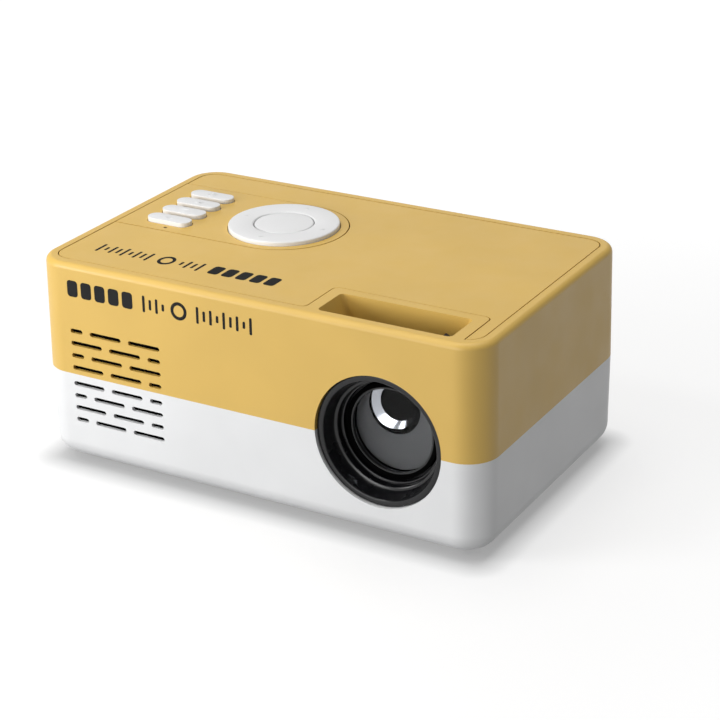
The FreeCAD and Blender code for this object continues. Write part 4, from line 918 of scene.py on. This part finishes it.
# %% Bridge the sleeves behind the glass
GLASS_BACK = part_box("aperture_stop")[0][1]
CONE_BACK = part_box("lens_spacer")[1][1]


def sleeve(name, finish, stations, thickness):
    """A sleeve through circles: each station is (radius, right of axis, above axis, y)."""
    bm = bmesh.new()
    loops = []
    for radius, across, above, y in stations:
        ring = bmesh.ops.create_circle(bm, cap_ends=False, segments=96, radius=radius * MM)["verts"]
        bmesh.ops.rotate(bm, verts=ring, cent=(0, 0, 0), matrix=Matrix.Rotation(math.radians(90), 3, "X"))
        bmesh.ops.translate(bm, verts=ring, vec=(LENS.x + across * MM, y, LENS.z + above * MM))
        loops.append(list({edge for vertex in ring for edge in vertex.link_edges}))
    for near, far in zip(loops, loops[1:]):
        bmesh.ops.bridge_loops(bm, edges=near + far)
    bmesh.ops.recalc_face_normals(bm, faces=bm.faces)
    bmesh.ops.solidify(bm, geom=bm.faces[:], thickness=thickness * MM)
    bmesh.ops.recalc_face_normals(bm, faces=bm.faces)
    return piece_from(bm, name, finish, 40)


baffle = sleeve("grey_baffle", baffle_grey, (
    (12.2, 0, 0, GLASS_BACK + 0.2 * MM), (7.5, -1.9, 4.3, GLASS_BACK + 2.4 * MM)), -0.3)
black_step = sleeve("black_step", flock_black, (
    (7.4, -1.9, 4.3, GLASS_BACK + 2.9 * MM), (7.1, -2.8, 4.6, GLASS_BACK + 3.1 * MM)), -0.2)
cone = sleeve("bright_cone", cone_metal, (
    (7.0, -2.9, 4.7, GLASS_BACK + 3.3 * MM), (5.1, -1.9, 4.8, CONE_BACK)), -0.3)
bm = bmesh.new()
turned(bm, [(0, 0), (6.4, 0), (6.4, 0.3), (0, 0.3)],
       (LENS.x - 1.9 * MM, CONE_BACK + 0.1 * MM, LENS.z + 4.7 * MM), LENS_AXIS, 64)
pupil = piece_from(bm, "black_pupil", flock_black)
stands_for(pupil, "lens_barrel", "black_plastic")
stands_for(baffle, "lens_barrel", "black_plastic", "aperture_stop")
stands_for(black_step, "lens_barrel", "black_plastic")
stands_for(cone, "lens_barrel", "bright_aluminium", "lens_spacer")

# %% [markdown]
# ## Feet
# Four low rubber domes sit in shallow seats. The outline is a short straight wall with a quarter-round edge.

# %% Turn the feet
FOOT_OUTLINE = [(0, 0), (2.7, 0), (3.1, 0.12), (3.38, 0.4), (3.5, 0.8), (3.5, 2.5), (0, 2.5)]
bm = bmesh.new()
for x, y in FEET:
    foot = bmesh.new()
    turned(foot, FOOT_OUTLINE, (x, y, 0), (0, 0, 1), 48)
    add_to(bm, foot, "foot")
feet = piece_from(bm, "rubber_feet", foot_rubber)
stands_for(feet, "case", "foot_rubber", "feet")

# %% [markdown]
# ## Printed marks
# Projectors of this kind carry a printed line on the front and a second one on the top. Here it is a plain
# pattern with no letters: five solid pads, then a ring between two sets of thin bars, like a sound meter. It
# is a film of ink 0.03 mm thick that leans with the wall.

# %% Print the pattern
INK = 0.03 * MM
MIDLINE = 2.6
BAR_HALVES = (2.4, 1.5, 2.1, 1.0)


def ink_bar(bm, left, right_edge, low, high, corner):
    slab(bm, (left * MM, -INK, low * MM), (right_edge * MM, INK / 3, high * MM), 1, corner * MM, 3)


def ink_ring(bm, x, z, radius, stroke):
    turned_ring = bmesh.new()
    turned(turned_ring, [(radius, -0.03), (radius - stroke, -0.03), (radius - stroke, 0.01), (radius, 0.01)],
           (x * MM, 0, z * MM), (0, 1, 0), 40)
    add_to(bm, turned_ring, "ink_ring")


def pattern():
    """The whole pattern, upright in the XZ plane, its middle 2.6 mm up."""
    bm = bmesh.new()
    for index in range(5):
        left = index * 4.6
        ink_bar(bm, left, left + 3.5, 0.2, 5.0, 0.9)
    ink_ring(bm, 37.0, MIDLINE, 2.6, 0.95)
    for start, bars in ((25.2, 4), (42.6, 9)):
        for index in range(bars):
            left = start + index * 2.1
            half = BAR_HALVES[index % 4]
            ink_bar(bm, left, left + 0.8, MIDLINE - half, MIDLINE + half, 0.3)
    return bm


front_lines = pattern()
PRINT_LOW = 52.2 * MM
bmesh.ops.translate(front_lines, verts=front_lines.verts[:], vec=(-58.3 * MM, FRONT, PRINT_LOW))
for vertex in front_lines.verts:
    vertex.co.y += (vertex.co.z - SPLIT) * math.tan(math.radians(0.7))
front_print = piece_from(front_lines, "front_print", print_ink)
stands_for(front_print, "case", "yellow_case")
top_lines = pattern()
bmesh.ops.scale(top_lines, verts=top_lines.verts[:], vec=(0.97, 1, 1.15))
for angle, axis in ((math.radians(-90), "X"), (math.pi, "Z")):
    bmesh.ops.rotate(top_lines, verts=top_lines.verts[:], cent=(0, 0, 0),
                     matrix=Matrix.Rotation(angle, 3, axis))
bmesh.ops.translate(top_lines, verts=top_lines.verts[:], vec=(1.0 * MM, -25.6 * MM, TOP))
top_print = piece_from(top_lines, "top_print", print_ink)
stands_for(top_print, "case", "yellow_case")

# %% [markdown]
# ## The floor
# A large pale plane takes the soft shadow. It is part of the stage and not of the object. Its brightness is
# mostly glow, painted light that lifts the real shadow: dim right beside the case's footprint, a painted
# contact shadow, then brighter further out until it runs out into an even white.
# The distance to the footprint comes from four vector steps. The floor sends no light back up.

# %% Lay the floor
GLOW_REACH = 0.22
FOOTPRINT_INSET = 4 * MM
bm = bmesh.new()
bmesh.ops.create_grid(bm, x_segments=2, y_segments=2, size=4)
painted_glow_floor = new_finish("painted_glow_floor", (0.36, 0.36, 0.36), 0.7)
vary_roughness(painted_glow_floor, 0.65, 0.75, 3)
tree = painted_glow_floor.node_tree
last = tree.nodes.new("ShaderNodeTexCoord").outputs["Object"]
footprint = (WIDTH / 2 - FOOTPRINT_INSET, DEPTH / 2 - FOOTPRINT_INSET, 0)
for operation, value in (("ABSOLUTE", None), ("SUBTRACT", footprint), ("MAXIMUM", (0, 0, 0)),
                         ("LENGTH", None)):
    step_node = tree.nodes.new("ShaderNodeVectorMath")
    step_node.operation = operation
    if value:
        step_node.inputs[1].default_value = value
    tree.links.new(last, step_node.inputs[0])
    last = step_node.outputs["Value" if operation == "LENGTH" else "Vector"]
reach = tree.nodes.new("ShaderNodeMapRange")
reach.inputs["From Max"].default_value = GLOW_REACH
# Painted light: the ramp's dim first stop beside the footprint is a painted contact shadow, and the brighter
# stops further out lift the real shadow.
glow_and_painted_shade = tree.nodes.new("ShaderNodeValToRGB")
glow_and_painted_shade.color_ramp.elements[0].position = 0.008
glow_and_painted_shade.color_ramp.elements[0].color = (0.26, 0.26, 0.26, 1)
glow_and_painted_shade.color_ramp.elements[1].color = (0.7, 0.7, 0.7, 1)
glow_and_painted_shade.color_ramp.elements.new(0.045).color = (0.6, 0.6, 0.6, 1)
tree.links.new(last, reach.inputs["Value"])
tree.links.new(reach.outputs["Result"], glow_and_painted_shade.inputs["Fac"])
shader = tree.nodes["Principled BSDF"]
tree.links.new(glow_and_painted_shade.outputs["Color"], shader.inputs["Emission Color"])
shader.inputs["Emission Strength"].default_value = 1.0
floor = piece_from(bm, "floor", painted_glow_floor)
floor.visible_diffuse = False
